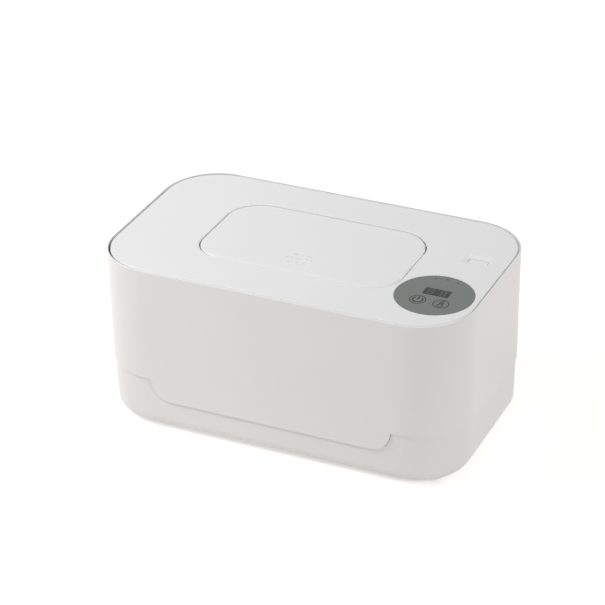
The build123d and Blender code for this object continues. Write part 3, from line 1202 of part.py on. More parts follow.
def make_control_board_parts():
    left, y, _ = HARNESS_START
    length, width, height = CONTROL_PLUG
    plug = block(left, left + length, y - width / 2, y + width / 2, BOARD_TOP, BOARD_TOP + height)
    controller = slab(PANEL_X + CONTROLLER_PLACE[0], BOARD_Y + CONTROLLER_PLACE[1], CONTROLLER_SIZE,
                      CONTROLLER_SIZE, CONTROLLER_CORNER, BOARD_UNDER - CONTROLLER_THICK, BOARD_UNDER)
    buzzer = post(PANEL_X + BUZZER_PLACE[0], BOARD_Y + BUZZER_PLACE[1], BOARD_UNDER - BUZZER_HEIGHT,
                  BOARD_UNDER, BUZZER_RADIUS)
    chips = []
    for step in (-1.5, -0.5, 0.5, 1.5):
        x, y = PANEL_X + step * CHIP_PITCH, BOARD_Y - CHIP_FRONT
        chips.append(block(x - CHIP_LENGTH / 2, x + CHIP_LENGTH / 2, y - CHIP_WIDTH / 2, y + CHIP_WIDTH / 2,
                           BOARD_UNDER - CHIP_THICK, BOARD_UNDER))
    return group([plug, controller, buzzer] + chips)


def make_control_board_screws():
    length = BOARD_THICK + BOARD_SCREW_BITE
    return group(small_screw_down(x, y, BOARD_TOP, length) for x, y in BOARD_SCREW_PLACES)


# The heater


def make_heat_spreader():
    return slab(TUB_MIDDLE, 0, SPREADER_LENGTH, SPREADER_WIDTH, SPREADER_CORNER, SPREADER_UNDER, SPREADER_TOP)


def make_heating_film():
    length, width = SPREADER_LENGTH - 2 * FILM_MARGIN, SPREADER_WIDTH - 2 * FILM_MARGIN
    film = slab(TUB_MIDDLE, 0, length, width, FILM_CORNER, FILM_UNDER, SPREADER_UNDER)
    half = FILM_TAIL_WIDTH / 2
    return film + block(FILM_LEFT - FILM_TAIL_LENGTH, FILM_LEFT + FILM_TAIL_ROOT, -half, half,
                        FILM_UNDER, SPREADER_UNDER)


def make_insulation_pad():
    length, width = SPREADER_LENGTH - 2 * FILM_MARGIN, SPREADER_WIDTH - 2 * FILM_MARGIN
    return slab(TUB_MIDDLE, 0, length, width, FILM_CORNER, PAD_UNDER, FILM_UNDER)


def make_thermal_fuse():
    half = FUSE_LENGTH / 2
    return bar_y(FUSE_PLACE - half, FUSE_PLACE + half, STRIP_X, SPREADER_UNDER - FUSE_RADIUS, FUSE_RADIUS)


def make_temperature_sensor():
    half = SENSOR_LENGTH / 2
    return bar_y(-FUSE_PLACE - half, -FUSE_PLACE + half, STRIP_X, SPREADER_UNDER - SENSOR_RADIUS,
                 SENSOR_RADIUS)


# The power board and the wires


def make_power_board():
    half_x, half_y = POWER_BOARD_WIDTH / 2, POWER_BOARD_LENGTH / 2
    board = block(POWER_X - half_x, POWER_X + half_x, -half_y, half_y, POWER_BOARD_HEIGHT, POWER_TOP)
    for x, y in POWER_SCREW_PLACES:
        board -= post(x, y, POWER_BOARD_HEIGHT, POWER_TOP, SMALL_SCREW_RADIUS + SCREW_FIT / 2)
    return board


def board_block(x, y, size):
    length, width, height = size
    return block(x - length / 2, x + length / 2, y - width / 2, y + width / 2, POWER_TOP, POWER_TOP + height)


def make_power_board_parts():
    x = POWER_X
    return group([
        board_block(x, TERMINAL_FACE_Y - TERMINAL[1] / 2, TERMINAL),
        board_block(x, RELAY_Y, RELAY),
        post(x, CAPACITOR_Y, POWER_TOP, POWER_TOP + CAPACITOR_HEIGHT, CAPACITOR_RADIUS),
        post(x, INDUCTOR_Y, POWER_TOP, POWER_TOP + INDUCTOR_HEIGHT, INDUCTOR_RADIUS),
        board_block(x + POWER_PLUG_SIDE, PLUG_FACE_Y + POWER_PLUG[1] / 2, POWER_PLUG),
    ])


def make_power_board_screws():
    length = BOARD_THICK + POWER_SCREW_BITE
    return group(small_screw_down(x, y, POWER_TOP, length) for x, y in POWER_SCREW_PLACES)


def make_dc_jack():
    back = JACK_MOUTH - JACK_DEPTH
    body_front = BACK - CAVITY_INSET - JACK_FIT
    half = JACK_WIDTH / 2
    jack = block(JACK_X - half, JACK_X + half, back, body_front,
                 JACK_HEIGHT - JACK_TALL / 2, JACK_HEIGHT + JACK_TALL / 2)
    jack += bar_y(body_front - JACK_ROOT, JACK_MOUTH, JACK_X, JACK_HEIGHT, JACK_BARREL_RADIUS)
    bore_end = JACK_MOUTH - JACK_BORE_DEPTH
    jack -= bar_y(bore_end, JACK_MOUTH, JACK_X, JACK_HEIGHT, JACK_BORE_RADIUS)
    return jack + bar_y(bore_end - JACK_ROOT, JACK_MOUTH - JACK_PIN_SHORT, JACK_X, JACK_HEIGHT,
                        JACK_PIN_RADIUS)


def make_jack_leads():
    back = JACK_MOUTH - JACK_DEPTH
    near, middle, far = JACK_LEAD_RUNS
    z = POWER_TOP + TERMINAL_WIRE_RISE
    leads = []
    for side in (-1, 1):
        shift = side * JACK_LEAD_SPACING / 2
        leads.append(wire(
            WIRE_RADIUS, JACK_BEND,
            (JACK_X + shift, back, JACK_HEIGHT),
            (JACK_X + shift, back - near - shift, JACK_HEIGHT),
            (JACK_X - JACK_LEAD_ACROSS, back - middle - shift, JACK_HEIGHT + JACK_LEAD_RISE),
            (POWER_X + shift, back - far - shift, z),
            (POWER_X + shift, TERMINAL_FACE_Y, z),
        ))
    return group(leads)


def make_heater_leads():
    z = FILM_UNDER - WIRE_RADIUS
    edge = POWER_X + POWER_BOARD_WIDTH / 2
    low = POWER_TOP + HEATER_WIRE_RISE
    start = FILM_LEFT - HEATER_WIRE_START
    half = HEATER_WIRE_SPACING / 2
    to_relay = wire(
        WIRE_RADIUS, LOOSE_BEND,
        (start, -half, z),
        (FILM_LEFT - HEATER_WIRE_RUN, -half, z),
        (edge - HEATER_WIRE_OVER, RELAY_WIRE_Y, low),
        (POWER_X + RELAY[0] / 2, RELAY_WIRE_Y, low),
    )
    under, along = z - FUSE_WIRE_DROPS[0], z - FUSE_WIRE_DROPS[1]
    to_fuse = wire(
        WIRE_RADIUS, TIGHT_BEND,
        (start, half, z),
        (FILM_LEFT - FUSE_WIRE_RUNS[0], half, under),
        (FILM_LEFT - FUSE_WIRE_RUNS[1], FUSE_WIRE_YS[0], under),
        (STRIP_X, FUSE_WIRE_YS[1], along),
        (STRIP_X, FUSE_PLACE - FUSE_LENGTH / 2, along),
    )
    from_fuse = wire(
        WIRE_RADIUS, TIGHT_BEND,
        (STRIP_X, FUSE_PLACE + FUSE_LENGTH / 2, along),
        (STRIP_X, FUSE_PLACE + FUSE_LENGTH / 2 + SENSOR_WIRE_RUN, along),
        (edge + FUSE_WIRE_ASIDE, TERMINAL_WIRE_Y, low),
        (POWER_X + TERMINAL[0] / 2, TERMINAL_WIRE_Y, low),
    )
    return group([to_relay, to_fuse, from_fuse])


def make_sensor_lead():
    start_y = -FUSE_PLACE - SENSOR_LENGTH / 2
    z = SPREADER_UNDER - SENSOR_RADIUS
    plug_right = POWER_X + POWER_PLUG_SIDE + POWER_PLUG[0] / 2
    plug_y, plug_z = PLUG_FACE_Y + POWER_PLUG[1] / 2, POWER_TOP + TERMINAL_WIRE_RISE
    return wire(
        WIRE_RADIUS, LOOSE_BEND,
        (STRIP_X, start_y, z),
        (STRIP_X, start_y - SENSOR_WIRE_RUN, z),
        (plug_right + TERMINAL_WIRE_RISE, plug_y, plug_z),
        (plug_right, plug_y, plug_z),
    )


def make_body_harness():
    """From the power board up the left bay, through the flange and round onto the hinge axis."""
    x, z = POWER_X + HARNESS_PLUG_SIDE, POWER_TOP + HARNESS_PLUG_RISE
    return wire(
        WIRE_RADIUS, HARNESS_BENDS,
        (x, PLUG_FACE_Y, z),
        (x, PLUG_FACE_Y - HARNESS_PLUG_RUNS[0], z),
        (x + HARNESS_PLUG_ACROSS, PLUG_FACE_Y - HARNESS_PLUG_RUNS[1], POWER_TOP + HARNESS_CLIMB),
        (HARNESS_DROP_X, HARNESS_DROP_Y, FLANGE_UNDER - HARNESS_BELOW_FLANGE),
        (HARNESS_DROP_X, HARNESS_DROP_Y, HINGE_Z - AXIS_DROP),
        (HINGE_X, CROSSING_Y + AXIS_RUN, HINGE_Z),
        (HINGE_X, CROSSING_Y + CROSSING_GAP, HINGE_Z),
    )


def make_lid_harness():
    """From the control board round the front of the well and onto the hinge axis."""
    x, y, z = HARNESS_START
    run_y = WELL_FRONT - LID_HARNESS_FRONT
    low = LINER_TOP + LID_HARNESS_RISE
    return wire(
        WIRE_RADIUS, LID_HARNESS_BENDS,
        (x, y, z),
        (x - LID_HARNESS_STARTS[0], y, z),
        (x - LID_HARNESS_STARTS[1], run_y, low),
        (LINER_LEFT + LID_HARNESS_LEFTS[0], run_y, low),
        (LINER_LEFT + LID_HARNESS_LEFTS[1], CROSSING_Y - LID_HARNESS_OUT, HARNESS_EXIT_Z),
        (HINGE_X, CROSSING_Y - LID_HARNESS_ON_AXIS, HINGE_Z),
        (HINGE_X, CROSSING_Y - CROSSING_GAP, HINGE_Z),
    )


PIECES = {
    "base_housing": make_base_housing,
    "upper_shell": make_upper_shell,
    "wipe_tub": make_wipe_tub,
    "tub_screws": make_tub_screws,
    "housing_screws": make_housing_screws,
    "rubber_feet": make_rubber_feet,
    "heat_spreader": make_heat_spreader,
    "heating_film": make_heating_film,
    "insulation_pad": make_insulation_pad,
    "thermal_fuse": make_thermal_fuse,
    "temperature_sensor": make_temperature_sensor,
    "heater_leads": make_heater_leads,
    "sensor_lead": make_sensor_lead,
    "power_board": make_power_board,
    "power_board_parts": make_power_board_parts,
    "power_board_screws": make_power_board_screws,
    "dc_jack": make_dc_jack,
    "jack_leads": make_jack_leads,
    "body_harness": make_body_harness,
    "hinge_brackets": make_hinge_brackets,
    "bracket_screws": make_bracket_screws,
    "latch_strike": make_latch_strike,
    "strike_screws": make_strike_screws,
    "lid_cover": make_lid_cover,
    "lid_liner": make_lid_liner,
    "lid_gasket": make_lid_gasket,
    "lid_screws": make_lid_screws,
    "lid_hinge_pins": make_lid_hinge_pins,
    "lid_harness": make_lid_harness,
    "dispenser_plate": make_dispenser_plate,
    "port_screws": make_port_screws,
    "port_membrane": make_port_membrane,
    "flap_hinge_pins": make_flap_hinge_pins,
    "touch_latch_body": make_touch_latch_body,
    "touch_latch_spring": make_touch_latch_spring,
    "touch_latch_plunger": make_touch_latch_plunger,
    "control_panel": make_control_panel,
    "display_window": make_display_window,
    "display_module": make_display_module,
    "indicator_lamps": make_indicator_lamps,
    "touch_springs": make_touch_springs,
    "control_board": make_control_board,
    "control_board_parts": make_control_board_parts,
    "control_board_screws": make_control_board_screws,
    "bolt_spring": make_bolt_spring,
    "latch_bolt": make_latch_bolt,
    "release_button": make_release_button,
    "flap": make_flap,
    "flap_seal": make_flap_seal,
}

for name, make in PIECES.items():
    export_step(make(), f"parts/{name}.step")
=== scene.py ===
"""A countertop wipe warmer: its finishes, its printed panel and a plain studio around it."""

import math

import bmesh
import bpy
from bpy.props import FloatProperty, FloatVectorProperty, PointerProperty
from mathutils import Matrix, Vector


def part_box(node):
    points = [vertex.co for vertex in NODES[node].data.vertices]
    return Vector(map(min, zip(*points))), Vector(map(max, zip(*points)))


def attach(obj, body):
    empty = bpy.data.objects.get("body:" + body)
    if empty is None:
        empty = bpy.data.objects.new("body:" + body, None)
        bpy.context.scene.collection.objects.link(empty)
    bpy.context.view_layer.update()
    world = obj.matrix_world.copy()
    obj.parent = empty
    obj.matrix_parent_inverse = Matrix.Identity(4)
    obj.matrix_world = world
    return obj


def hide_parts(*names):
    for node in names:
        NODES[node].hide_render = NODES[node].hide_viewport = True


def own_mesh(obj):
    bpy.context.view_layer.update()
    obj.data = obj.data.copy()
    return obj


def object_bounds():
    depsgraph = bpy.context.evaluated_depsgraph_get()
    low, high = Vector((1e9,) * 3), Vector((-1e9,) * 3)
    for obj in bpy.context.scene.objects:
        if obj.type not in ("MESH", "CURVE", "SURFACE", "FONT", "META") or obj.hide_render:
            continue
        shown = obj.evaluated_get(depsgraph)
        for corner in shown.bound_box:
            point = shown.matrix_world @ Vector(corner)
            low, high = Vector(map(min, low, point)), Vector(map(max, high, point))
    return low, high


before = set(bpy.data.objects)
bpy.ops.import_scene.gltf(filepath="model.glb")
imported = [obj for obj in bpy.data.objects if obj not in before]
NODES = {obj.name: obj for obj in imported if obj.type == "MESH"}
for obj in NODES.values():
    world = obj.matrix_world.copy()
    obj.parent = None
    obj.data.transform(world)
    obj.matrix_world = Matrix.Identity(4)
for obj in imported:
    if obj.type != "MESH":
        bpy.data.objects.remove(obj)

bl_info = {
    "name": "Wipe Warmer",
    "version": (1, 0, 0),
    "blender": (4, 5, 0),
    "location": "View3D > Sidebar > Wipe Warmer",
    "description": "Finishes a wipe warmer and sets it in a plain studio",
    "category": "Object",
}

MM = 0.001
CAD_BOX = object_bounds()
TOP_Z = CAD_BOX[1][2]

# The camera's view of the whole warmer
TARGET_Z = 52 * MM
CAMERA_AZIMUTH = math.radians(24.69)
CAMERA_ELEVATION = math.radians(30.02)
CAMERA_ROLL = math.radians(-0.87)
CAMERA_DISTANCE = 1482.75 * MM
CAMERA_LENS = 141.35
CAMERA_SENSOR = 36.0
FRAME_WIDTH = 605.0
SHIFT_RIGHT = -12.49
SHIFT_UP = 27.8

WHITE = (1.0, 1.0, 1.0, 1.0)

# The body that carries the panel, and where its print lies
LID = "lid"
PANEL_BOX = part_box("control_panel")
PANEL_X = (PANEL_BOX[0][0] + PANEL_BOX[1][0]) / 2
PANEL_Y = (PANEL_BOX[0][1] + PANEL_BOX[1][1]) / 2
POWER_KEY = (PANEL_X - 7.2 * MM, PANEL_Y - 8.55 * MM)
TEMPERATURE_KEY = (PANEL_X + 7.4 * MM, PANEL_Y - 8.4 * MM)
PRINT_LAYER = (TOP_Z - 0.1 * MM, TOP_Z + 0.02 * MM)

FULL_TURN = 360
HALF_TURN = 180
UPWARDS = 90
ARC_STEPS = 48
END_STEPS = 8
TUBE_STEPS = 16

# The power symbol
POWER_RADIUS = 3.0 * MM
POWER_HALF_GAP = 38  # degrees from the top to each end of its ring
POWER_BAR = (0.3 * MM, 3.5 * MM)  # from the ring's middle up

# The thermometer symbol
BULB_RADIUS = 1.6 * MM
BULB_DROP = 2.1 * MM
TUBE_HALF = 0.9 * MM
TUBE_TOP = 2.6 * MM
COLUMN_SHORT = 0.7 * MM  # how far the column stops below the tube's top
OUTLINE_SHARE = 0.75  # of the symbols' line width
COLUMN_SHARE = 0.8  # of the outline

# The display's digits, as shares of their height
DIGIT_SPREAD = 3.9 * MM  # from the window's middle to each digit's
DIGIT_HALF_WIDTH = 0.27
DIGIT_HALF_HEIGHT = 0.5
DIGIT_GAP = 0.1
DIGIT_BAR = 0.13
DIGIT_END_STEPS = 3

# The stage
FLOOR_Z = -0.1 * MM  # just clear of the feet
FLOOR_HALF = 4.0
FLOOR_ROUGHNESS = 0.9
CLIP_START = 0.05
KEY_PLACE = (-0.75, -0.35, 0.75)
KEY_SIZE = 0.4
TOP_LIGHT = ((-0.15, -0.1, 1.0), 110)  # where a light comes from, and its spread in degrees
SIDE_LIGHT = ((0.95, -0.55, 0.8), 22)
BACK_LIGHT = ((0.7, 1.0, 0.25), 40)

# The springs
SPRING_WIRE = 0.25 * MM  # radius
SPRING_STEPS = 40  # along each turn
WIRE_SIDES = 12
SPRING_CLOSED = 0.75  # how much of a turn lies flat at each end
CLOSED_RISE = 0.06  # share of the length that each flat end takes
BOLT_SPRING = (7, 2.2 * MM)  # turns and travel
PLUNGER_SPRING = (4, 1.2 * MM)

# The patterns of the materials
BUMP_REACH = 0.1 * MM
GRAIN_SCALE = 2200.0
GRAIN_DEPTH = 0.05
GRAIN_DETAIL = 3.0
SMUDGE_SCALE = 28.0
SMUDGE_DETAIL = 4.0
MOTTLE_SCALE = 9.0
METAL_MOTTLE_SCALE = 60.0
MOTTLE_DETAIL = 2.0
MOTTLE_RANGE = (0.35, 0.65)
PLASTIC_DRIFT = 0.985  # the second colour of a mottle, as a share of the first
METAL_DRIFT = 0.9
LINE_SCALE = 900.0
LINE_DEPTH = 0.12
LINE_DETAIL = 4.0
LINE_STRETCH = (0.12, 1.0, 1.0)
PLASTIC_GLOSS_SPREAD = 0.06
METAL_GLOSS_SPREAD = 0.15
USUAL_ROUGHNESS = 0.35
USUAL_SPECULAR = 0.5
PANEL_SPECULAR = 0.25
PRINT_SPECULAR = 0.3
BASE_SHADE = 0.985  # the base's colour and gloss beside the upper shell's
BASE_DULLER = 0.04
LINER_SHADE = 1.03
MIX_FIRST, MIX_SECOND, MIX_RESULT = 6, 7, 2  # the colour sockets of a Mix node

# Plastics and rubbers; one without a colour takes it from the settings
PLASTICS = {
    "Foot rubber": {
        "colour": (0.09, 0.09, 0.092), "roughness": 0.75, "grain": 0.2, "grain_scale": 900.0, "drift": 0.9,
    },
    "Inlet plastic": {"colour": (0.02, 0.02, 0.021), "roughness": 0.4},
    "Tub plastic": {"roughness": 0.42, "grain": 0.12, "grain_scale": 1500.0},
    "Liner plastic": {"roughness": 0.38},
    "Grey silicone": {
        "colour": (0.36, 0.38, 0.39), "roughness": 0.62, "grain": 0.1, "grain_scale": 1200.0, "drift": 0.95,
    },
    "White silicone": {
        "colour": (0.68, 0.69, 0.69), "roughness": 0.6, "grain": 0.1, "grain_scale": 1200.0, "drift": 0.96,
    },
    "Panel grey": {
        "roughness": 0.45, "grain": 0.04, "grain_scale": 2600.0, "drift": 0.98, "specular": PANEL_SPECULAR,
    },
    "Display window": {"roughness": 0.3, "grain": 0.01, "specular": PRINT_SPECULAR},
    "Module plastic": {"colour": (0.05, 0.05, 0.052), "roughness": 0.5},
    "Lamp lens": {"roughness": 0.4, "grain": 0.02, "specular": PRINT_SPECULAR},
    "Panel print": {"roughness": 0.45, "grain": 0.02, "specular": PRINT_SPECULAR},
    "Unlit segment": {"roughness": 0.35, "grain": 0.01, "specular": PRINT_SPECULAR},
    "Film heater": {"colour": (0.45, 0.16, 0.03), "roughness": 0.3},
    "Insulation foam": {
        "colour": (0.60, 0.58, 0.54), "roughness": 0.95, "grain": 0.9, "grain_scale": 700.0, "drift": 0.85,
    },
    "Fuse sleeve": {"colour": (0.70, 0.69, 0.64), "roughness": 0.6},
    "Sensor bead": {"colour": (0.02, 0.03, 0.08), "roughness": 0.2},
    "Circuit board": {
        "colour": (0.012, 0.09, 0.035), "roughness": 0.35, "grain": 0.15, "grain_scale": 500.0, "drift": 0.8,
    },
    "Component black": {"colour": (0.02, 0.02, 0.022), "roughness": 0.45},
    "Red lead": {"colour": (0.35, 0.02, 0.015), "roughness": 0.5},
    "White lead": {"colour": (0.62, 0.62, 0.6), "roughness": 0.5},
    "Black lead": {"colour": (0.02, 0.02, 0.02), "roughness": 0.5},
    "Acetal": {"colour": (0.75, 0.75, 0.71), "roughness": 0.3},
    "Latch case": {"colour": (0.03, 0.03, 0.032), "roughness": 0.45},
}
METALS = {
    "Spreader aluminium": {"colour": (0.76, 0.77, 0.78), "roughness": 0.35},
    "Pressed steel": {"colour": (0.55, 0.55, 0.56), "roughness": 0.32},
    "Screw steel": {"colour": (0.50, 0.50, 0.52), "roughness": 0.28, "line_scale": 2500.0},
    "Pin steel": {"colour": (0.60, 0.60, 0.61), "roughness": 0.2},
    "Spring wire": {"colour": (0.45, 0.45, 0.47), "roughness": 0.25},
}


def srgb(red, green, blue):
    """A colour given in display values of 0 to 255, as linear light."""

    def linear(value):
        value /= 255
        return value / 12.92 if value <= 0.04045 else ((value + 0.055) / 1.055) ** 2.4

    return (linear(red), linear(green), linear(blue))


# Sizes and colours that a user would change


class WarmerStageSettings(bpy.types.PropertyGroup):
    sky_strength: FloatProperty(
        name="Room light", description="Even light from all round", default=0.26, min=0.0
    )
    sky_colour: FloatVectorProperty(
        name="Room colour", description="Colour of the even light", subtype="COLOR", size=3,
        default=(0.985, 0.995, 1.0),
    )
    key_power: FloatProperty(
        name="Key light", description="Large lamp above the left end, in front", default=5.7, min=0.0,
        unit="POWER",
    )
    top_strength: FloatProperty(
        name="Top light", description="Wide light from straight above", default=0.33, min=0.0
    )
    side_strength: FloatProperty(
        name="Side light", description="Lamp above the right end", default=1.05, min=0.0
    )
    back_strength: FloatProperty(name="Back light", description="Lamp behind", default=0.55, min=0.0)
    floor_colour: FloatVectorProperty(
        name="Floor colour", description="Colour of the plain floor", subtype="COLOR", size=3,
        default=(0.84, 0.80, 0.765),
    )
    floor_lift: FloatProperty(
        name="Floor lift", description="How much paler the floor looks than it lights", default=0.5, min=0.0
    )


class WarmerFinishSettings(bpy.types.PropertyGroup):
    shell_colour: FloatVectorProperty(
        name="Shell", description="Colour of the white shells", subtype="COLOR", size=3,
        default=(0.82, 0.82, 0.815),
    )
    shell_roughness: FloatProperty(
        name="Shell roughness", description="How dull the shells are", default=0.34, min=0.0, max=1.0
    )
    tub_colour: FloatVectorProperty(
        name="Tub", description="Colour of the tub and the liner", subtype="COLOR", size=3,
        default=(0.74, 0.75, 0.75),
    )
    panel_colour: FloatVectorProperty(
        name="Panel", description="Colour of the round panel", subtype="COLOR", size=3,
        default=srgb(116, 121, 118),
    )
    print_colour: FloatVectorProperty(
        name="Print", description="Colour of the symbols on the panel", subtype="COLOR", size=3,
        default=srgb(8, 10, 10),
    )
    display_colour: FloatVectorProperty(
        name="Display", description="Colour of the dark display", subtype="COLOR", size=3,
        default=srgb(24, 28, 27),
    )
    lamp_colour: FloatVectorProperty(
        name="Lamps", description="Colour of the unlit lamps", subtype="COLOR", size=3,
        default=srgb(78, 83, 80),
    )
    segment_colour: FloatVectorProperty(
        name="Unlit segments", description="Colour of the display's unlit digits", subtype="COLOR", size=3,
        default=srgb(78, 84, 81),
    )


class WarmerPanelSettings(bpy.types.PropertyGroup):
    badge_radius: FloatProperty(
        name="Badge radius", description="Radius of the ring round each symbol", default=4.75 * MM, min=0.001,
        unit="LENGTH",
    )
    line_width: FloatProperty(
        name="Line width", description="Width of the printed rings", default=0.58 * MM, min=0.0001,
        unit="LENGTH",
    )
    symbol_width: FloatProperty(
        name="Symbol width", description="Width of the printed symbols' lines", default=0.85 * MM, min=0.0001,
        unit="LENGTH",
    )
    digit_height: FloatProperty(
        name="Digit height", description="Height of each digit on the display", default=5.6 * MM, min=0.001,
        unit="LENGTH",
    )


def settings():
    scene = bpy.context.scene
    return scene.warmer_stage, scene.warmer_finish, scene.warmer_panel


# Shader node groups shared by the materials


def new_group(name, inputs, outputs):
    group = bpy.data.node_groups.new(name, "ShaderNodeTree")
    for label, kind, value in inputs:
        socket = group.interface.new_socket(name=label, in_out="INPUT", socket_type=kind)
        socket.default_value = value
    for label, kind in outputs:
        group.interface.new_socket(name=label, in_out="OUTPUT", socket_type=kind)
    return group, group.nodes.new("NodeGroupInput"), group.nodes.new("NodeGroupOutput")


def node(tree, kind, **values):
    made = tree.nodes.new(kind)
    for name, value in values.items():
        setattr(made, name, value)
    return made


def relief_and_gloss(group, inside, outside, relief, depth, wander):
    """Raises the surface by one pattern, and lets its gloss wander with another."""
    bump = node(group, "ShaderNodeBump")
    bump.inputs["Distance"].default_value = BUMP_REACH
    centred = node(group, "ShaderNodeMath", operation="SUBTRACT")
    centred.inputs[1].default_value = 0.5
    spread = node(group, "ShaderNodeMath", operation="MULTIPLY_ADD")
    link = group.links.new
    link(inside.outputs[depth], bump.inputs["Strength"])
    link(relief.outputs["Fac"], bump.inputs["Height"])
    link(wander.outputs["Fac"], centred.inputs[0])
    link(centred.outputs[0], spread.inputs[0])
    link(inside.outputs["Roughness Spread"], spread.inputs[1])
    link(inside.outputs["Roughness"], spread.inputs[2])
    link(spread.outputs[0], outside.inputs["Roughness"])
    link(bump.outputs["Normal"], outside.inputs["Normal"])


def moulded_group():
    """The faint grain of moulded plastic: a bump, and a gloss that varies a little across the piece."""
    group, inside, outside = new_group(
        "Moulded surface",
        [
            ("Grain Scale", "NodeSocketFloat", GRAIN_SCALE),
            ("Grain Depth", "NodeSocketFloat", GRAIN_DEPTH),
            ("Roughness", "NodeSocketFloat", USUAL_ROUGHNESS),
            ("Roughness Spread", "NodeSocketFloat", PLASTIC_GLOSS_SPREAD),
        ],
        [("Roughness", "NodeSocketFloat"), ("Normal", "NodeSocketVector")],
    )
    place = node(group, "ShaderNodeTexCoord")
    grain = node(group, "ShaderNodeTexNoise")
    grain.inputs["Detail"].default_value = GRAIN_DETAIL
    smudge = node(group, "ShaderNodeTexNoise")
    smudge.inputs["Scale"].default_value = SMUDGE_SCALE
    smudge.inputs["Detail"].default_value = SMUDGE_DETAIL
    link = group.links.new
    link(place.outputs["Object"], grain.inputs["Vector"])
    link(place.outputs["Object"], smudge.inputs["Vector"])
    link(inside.outputs["Grain Scale"], grain.inputs["Scale"])
    relief_and_gloss(group, inside, outside, grain, "Grain Depth", smudge)
    return group


def mottle_group():
    """A slow drift between two near colours, as in any large moulding or cast rubber."""
    group, inside, outside = new_group(
        "Slow mottle",
        [
            ("Colour", "NodeSocketColor", WHITE),
            ("Second Colour", "NodeSocketColor", WHITE),
            ("Scale", "NodeSocketFloat", MOTTLE_SCALE),
        ],
        [("Colour", "NodeSocketColor")],
    )
    place = node(group, "ShaderNodeTexCoord")
    drift = node(group, "ShaderNodeTexNoise")
    drift.inputs["Detail"].default_value = MOTTLE_DETAIL
    curve = node(group, "ShaderNodeMapRange")
    curve.inputs["From Min"].default_value, curve.inputs["From Max"].default_value = MOTTLE_RANGE
    mix = node(group, "ShaderNodeMix", data_type="RGBA")
    link = group.links.new
    link(place.outputs["Object"], drift.inputs["Vector"])
    link(inside.outputs["Scale"], drift.inputs["Scale"])
    link(drift.outputs["Fac"], curve.inputs["Value"])
    link(curve.outputs["Result"], mix.inputs["Factor"])
    link(inside.outputs["Colour"], mix.inputs[MIX_FIRST])
    link(inside.outputs["Second Colour"], mix.inputs[MIX_SECOND])
    link(mix.outputs[MIX_RESULT], outside.inputs["Colour"])
    return group


def drawn_metal_group():
    """Fine lines left by drawing or pressing, along one direction."""
    group, inside, outside = new_group(
        "Drawn metal",
        [
            ("Line Scale", "NodeSocketFloat", LINE_SCALE),
            ("Depth", "NodeSocketFloat", LINE_DEPTH),
            ("Roughness", "NodeSocketFloat", USUAL_ROUGHNESS),
            ("Roughness Spread", "NodeSocketFloat", METAL_GLOSS_SPREAD),
        ],
        [("Roughness", "NodeSocketFloat"), ("Normal", "NodeSocketVector")],
    )
    place = node(group, "ShaderNodeTexCoord")
    stretch = node(group, "ShaderNodeMapping")
    stretch.inputs["Scale"].default_value = LINE_STRETCH
    lines = node(group, "ShaderNodeTexNoise")
    lines.inputs["Detail"].default_value = LINE_DETAIL
    link = group.links.new
    link(place.outputs["Object"], stretch.inputs["Vector"])
    link(stretch.outputs["Vector"], lines.inputs["Vector"])
    link(inside.outputs["Line Scale"], lines.inputs["Scale"])
    relief_and_gloss(group, inside, outside, lines, "Depth", lines)
    return group


GROUP_MAKERS = {
    "Moulded surface": moulded_group,
    "Slow mottle": mottle_group,
    "Drawn metal": drawn_metal_group,
}


def placed_group(tree, name, **values):
    """Places a shared group in a material, made when it is first asked for."""
    group = bpy.data.node_groups.get(name) or GROUP_MAKERS[name]()
    placed = node(tree, "ShaderNodeGroup", node_tree=group)
    for label, value in values.items():
        placed.inputs[label.replace("_", " ")].default_value = value
    return placed


# Materials


def rgba(colour):
    return (colour[0], colour[1], colour[2], 1.0)


def shade(colour, factor):
    return tuple(min(1.0, channel * factor) for channel in colour)


def new_material(name):
    material = bpy.data.materials.new(name)
    material.use_nodes = True
    tree = material.node_tree
    return material, tree, tree.nodes["Principled BSDF"]


def finish_shader(tree, shader, surface, mottle):
    tree.links.new(mottle.outputs["Colour"], shader.inputs["Base Color"])
    tree.links.new(surface.outputs["Roughness"], shader.inputs["Roughness"])
    tree.links.new(surface.outputs["Normal"], shader.inputs["Normal"])


def plastic(
    name, colour, roughness, grain=GRAIN_DEPTH, grain_scale=GRAIN_SCALE, drift=PLASTIC_DRIFT,
    specular=USUAL_SPECULAR,
):
    """Moulded plastic or rubber: a slow drift of colour under a fine grain."""
    material, tree, shader = new_material(name)
    mottle = placed_group(tree, "Slow mottle", Colour=rgba(colour), Second_Colour=rgba(shade(colour, drift)))
    surface = placed_group(
        tree, "Moulded surface", Grain_Scale=grain_scale, Grain_Depth=grain, Roughness=roughness
    )
    finish_shader(tree, shader, surface, mottle)
    shader.inputs["Specular IOR Level"].default_value = specular
    return material


def metal(name, colour, roughness, line_scale=LINE_SCALE):
    """Drawn or pressed metal, with fine lines along it."""
    material, tree, shader = new_material(name)
    surface = placed_group(tree, "Drawn metal", Line_Scale=line_scale, Depth=LINE_DEPTH, Roughness=roughness)
    mottle = placed_group(
        tree, "Slow mottle", Colour=rgba(colour), Second_Colour=rgba(shade(colour, METAL_DRIFT)),
        Scale=METAL_MOTTLE_SCALE,
    )
    finish_shader(tree, shader, surface, mottle)
    shader.inputs["Metallic"].default_value = 1.0
    return material


def listed(name, **chosen):
    """A material from the tables, with what the settings choose for it."""
    if name in METALS:
        return metal(name, **METALS[name], **chosen)
    return plastic(name, **PLASTICS[name], **chosen)


def dress(material, *names):
    """Puts one material over the whole of each named CAD piece."""
    for name in names:
        mesh = NODES[name].data
        mesh.materials.clear()
        mesh.materials.append(material)
        for face in mesh.polygons:
            face.material_index = 0


# Meshes


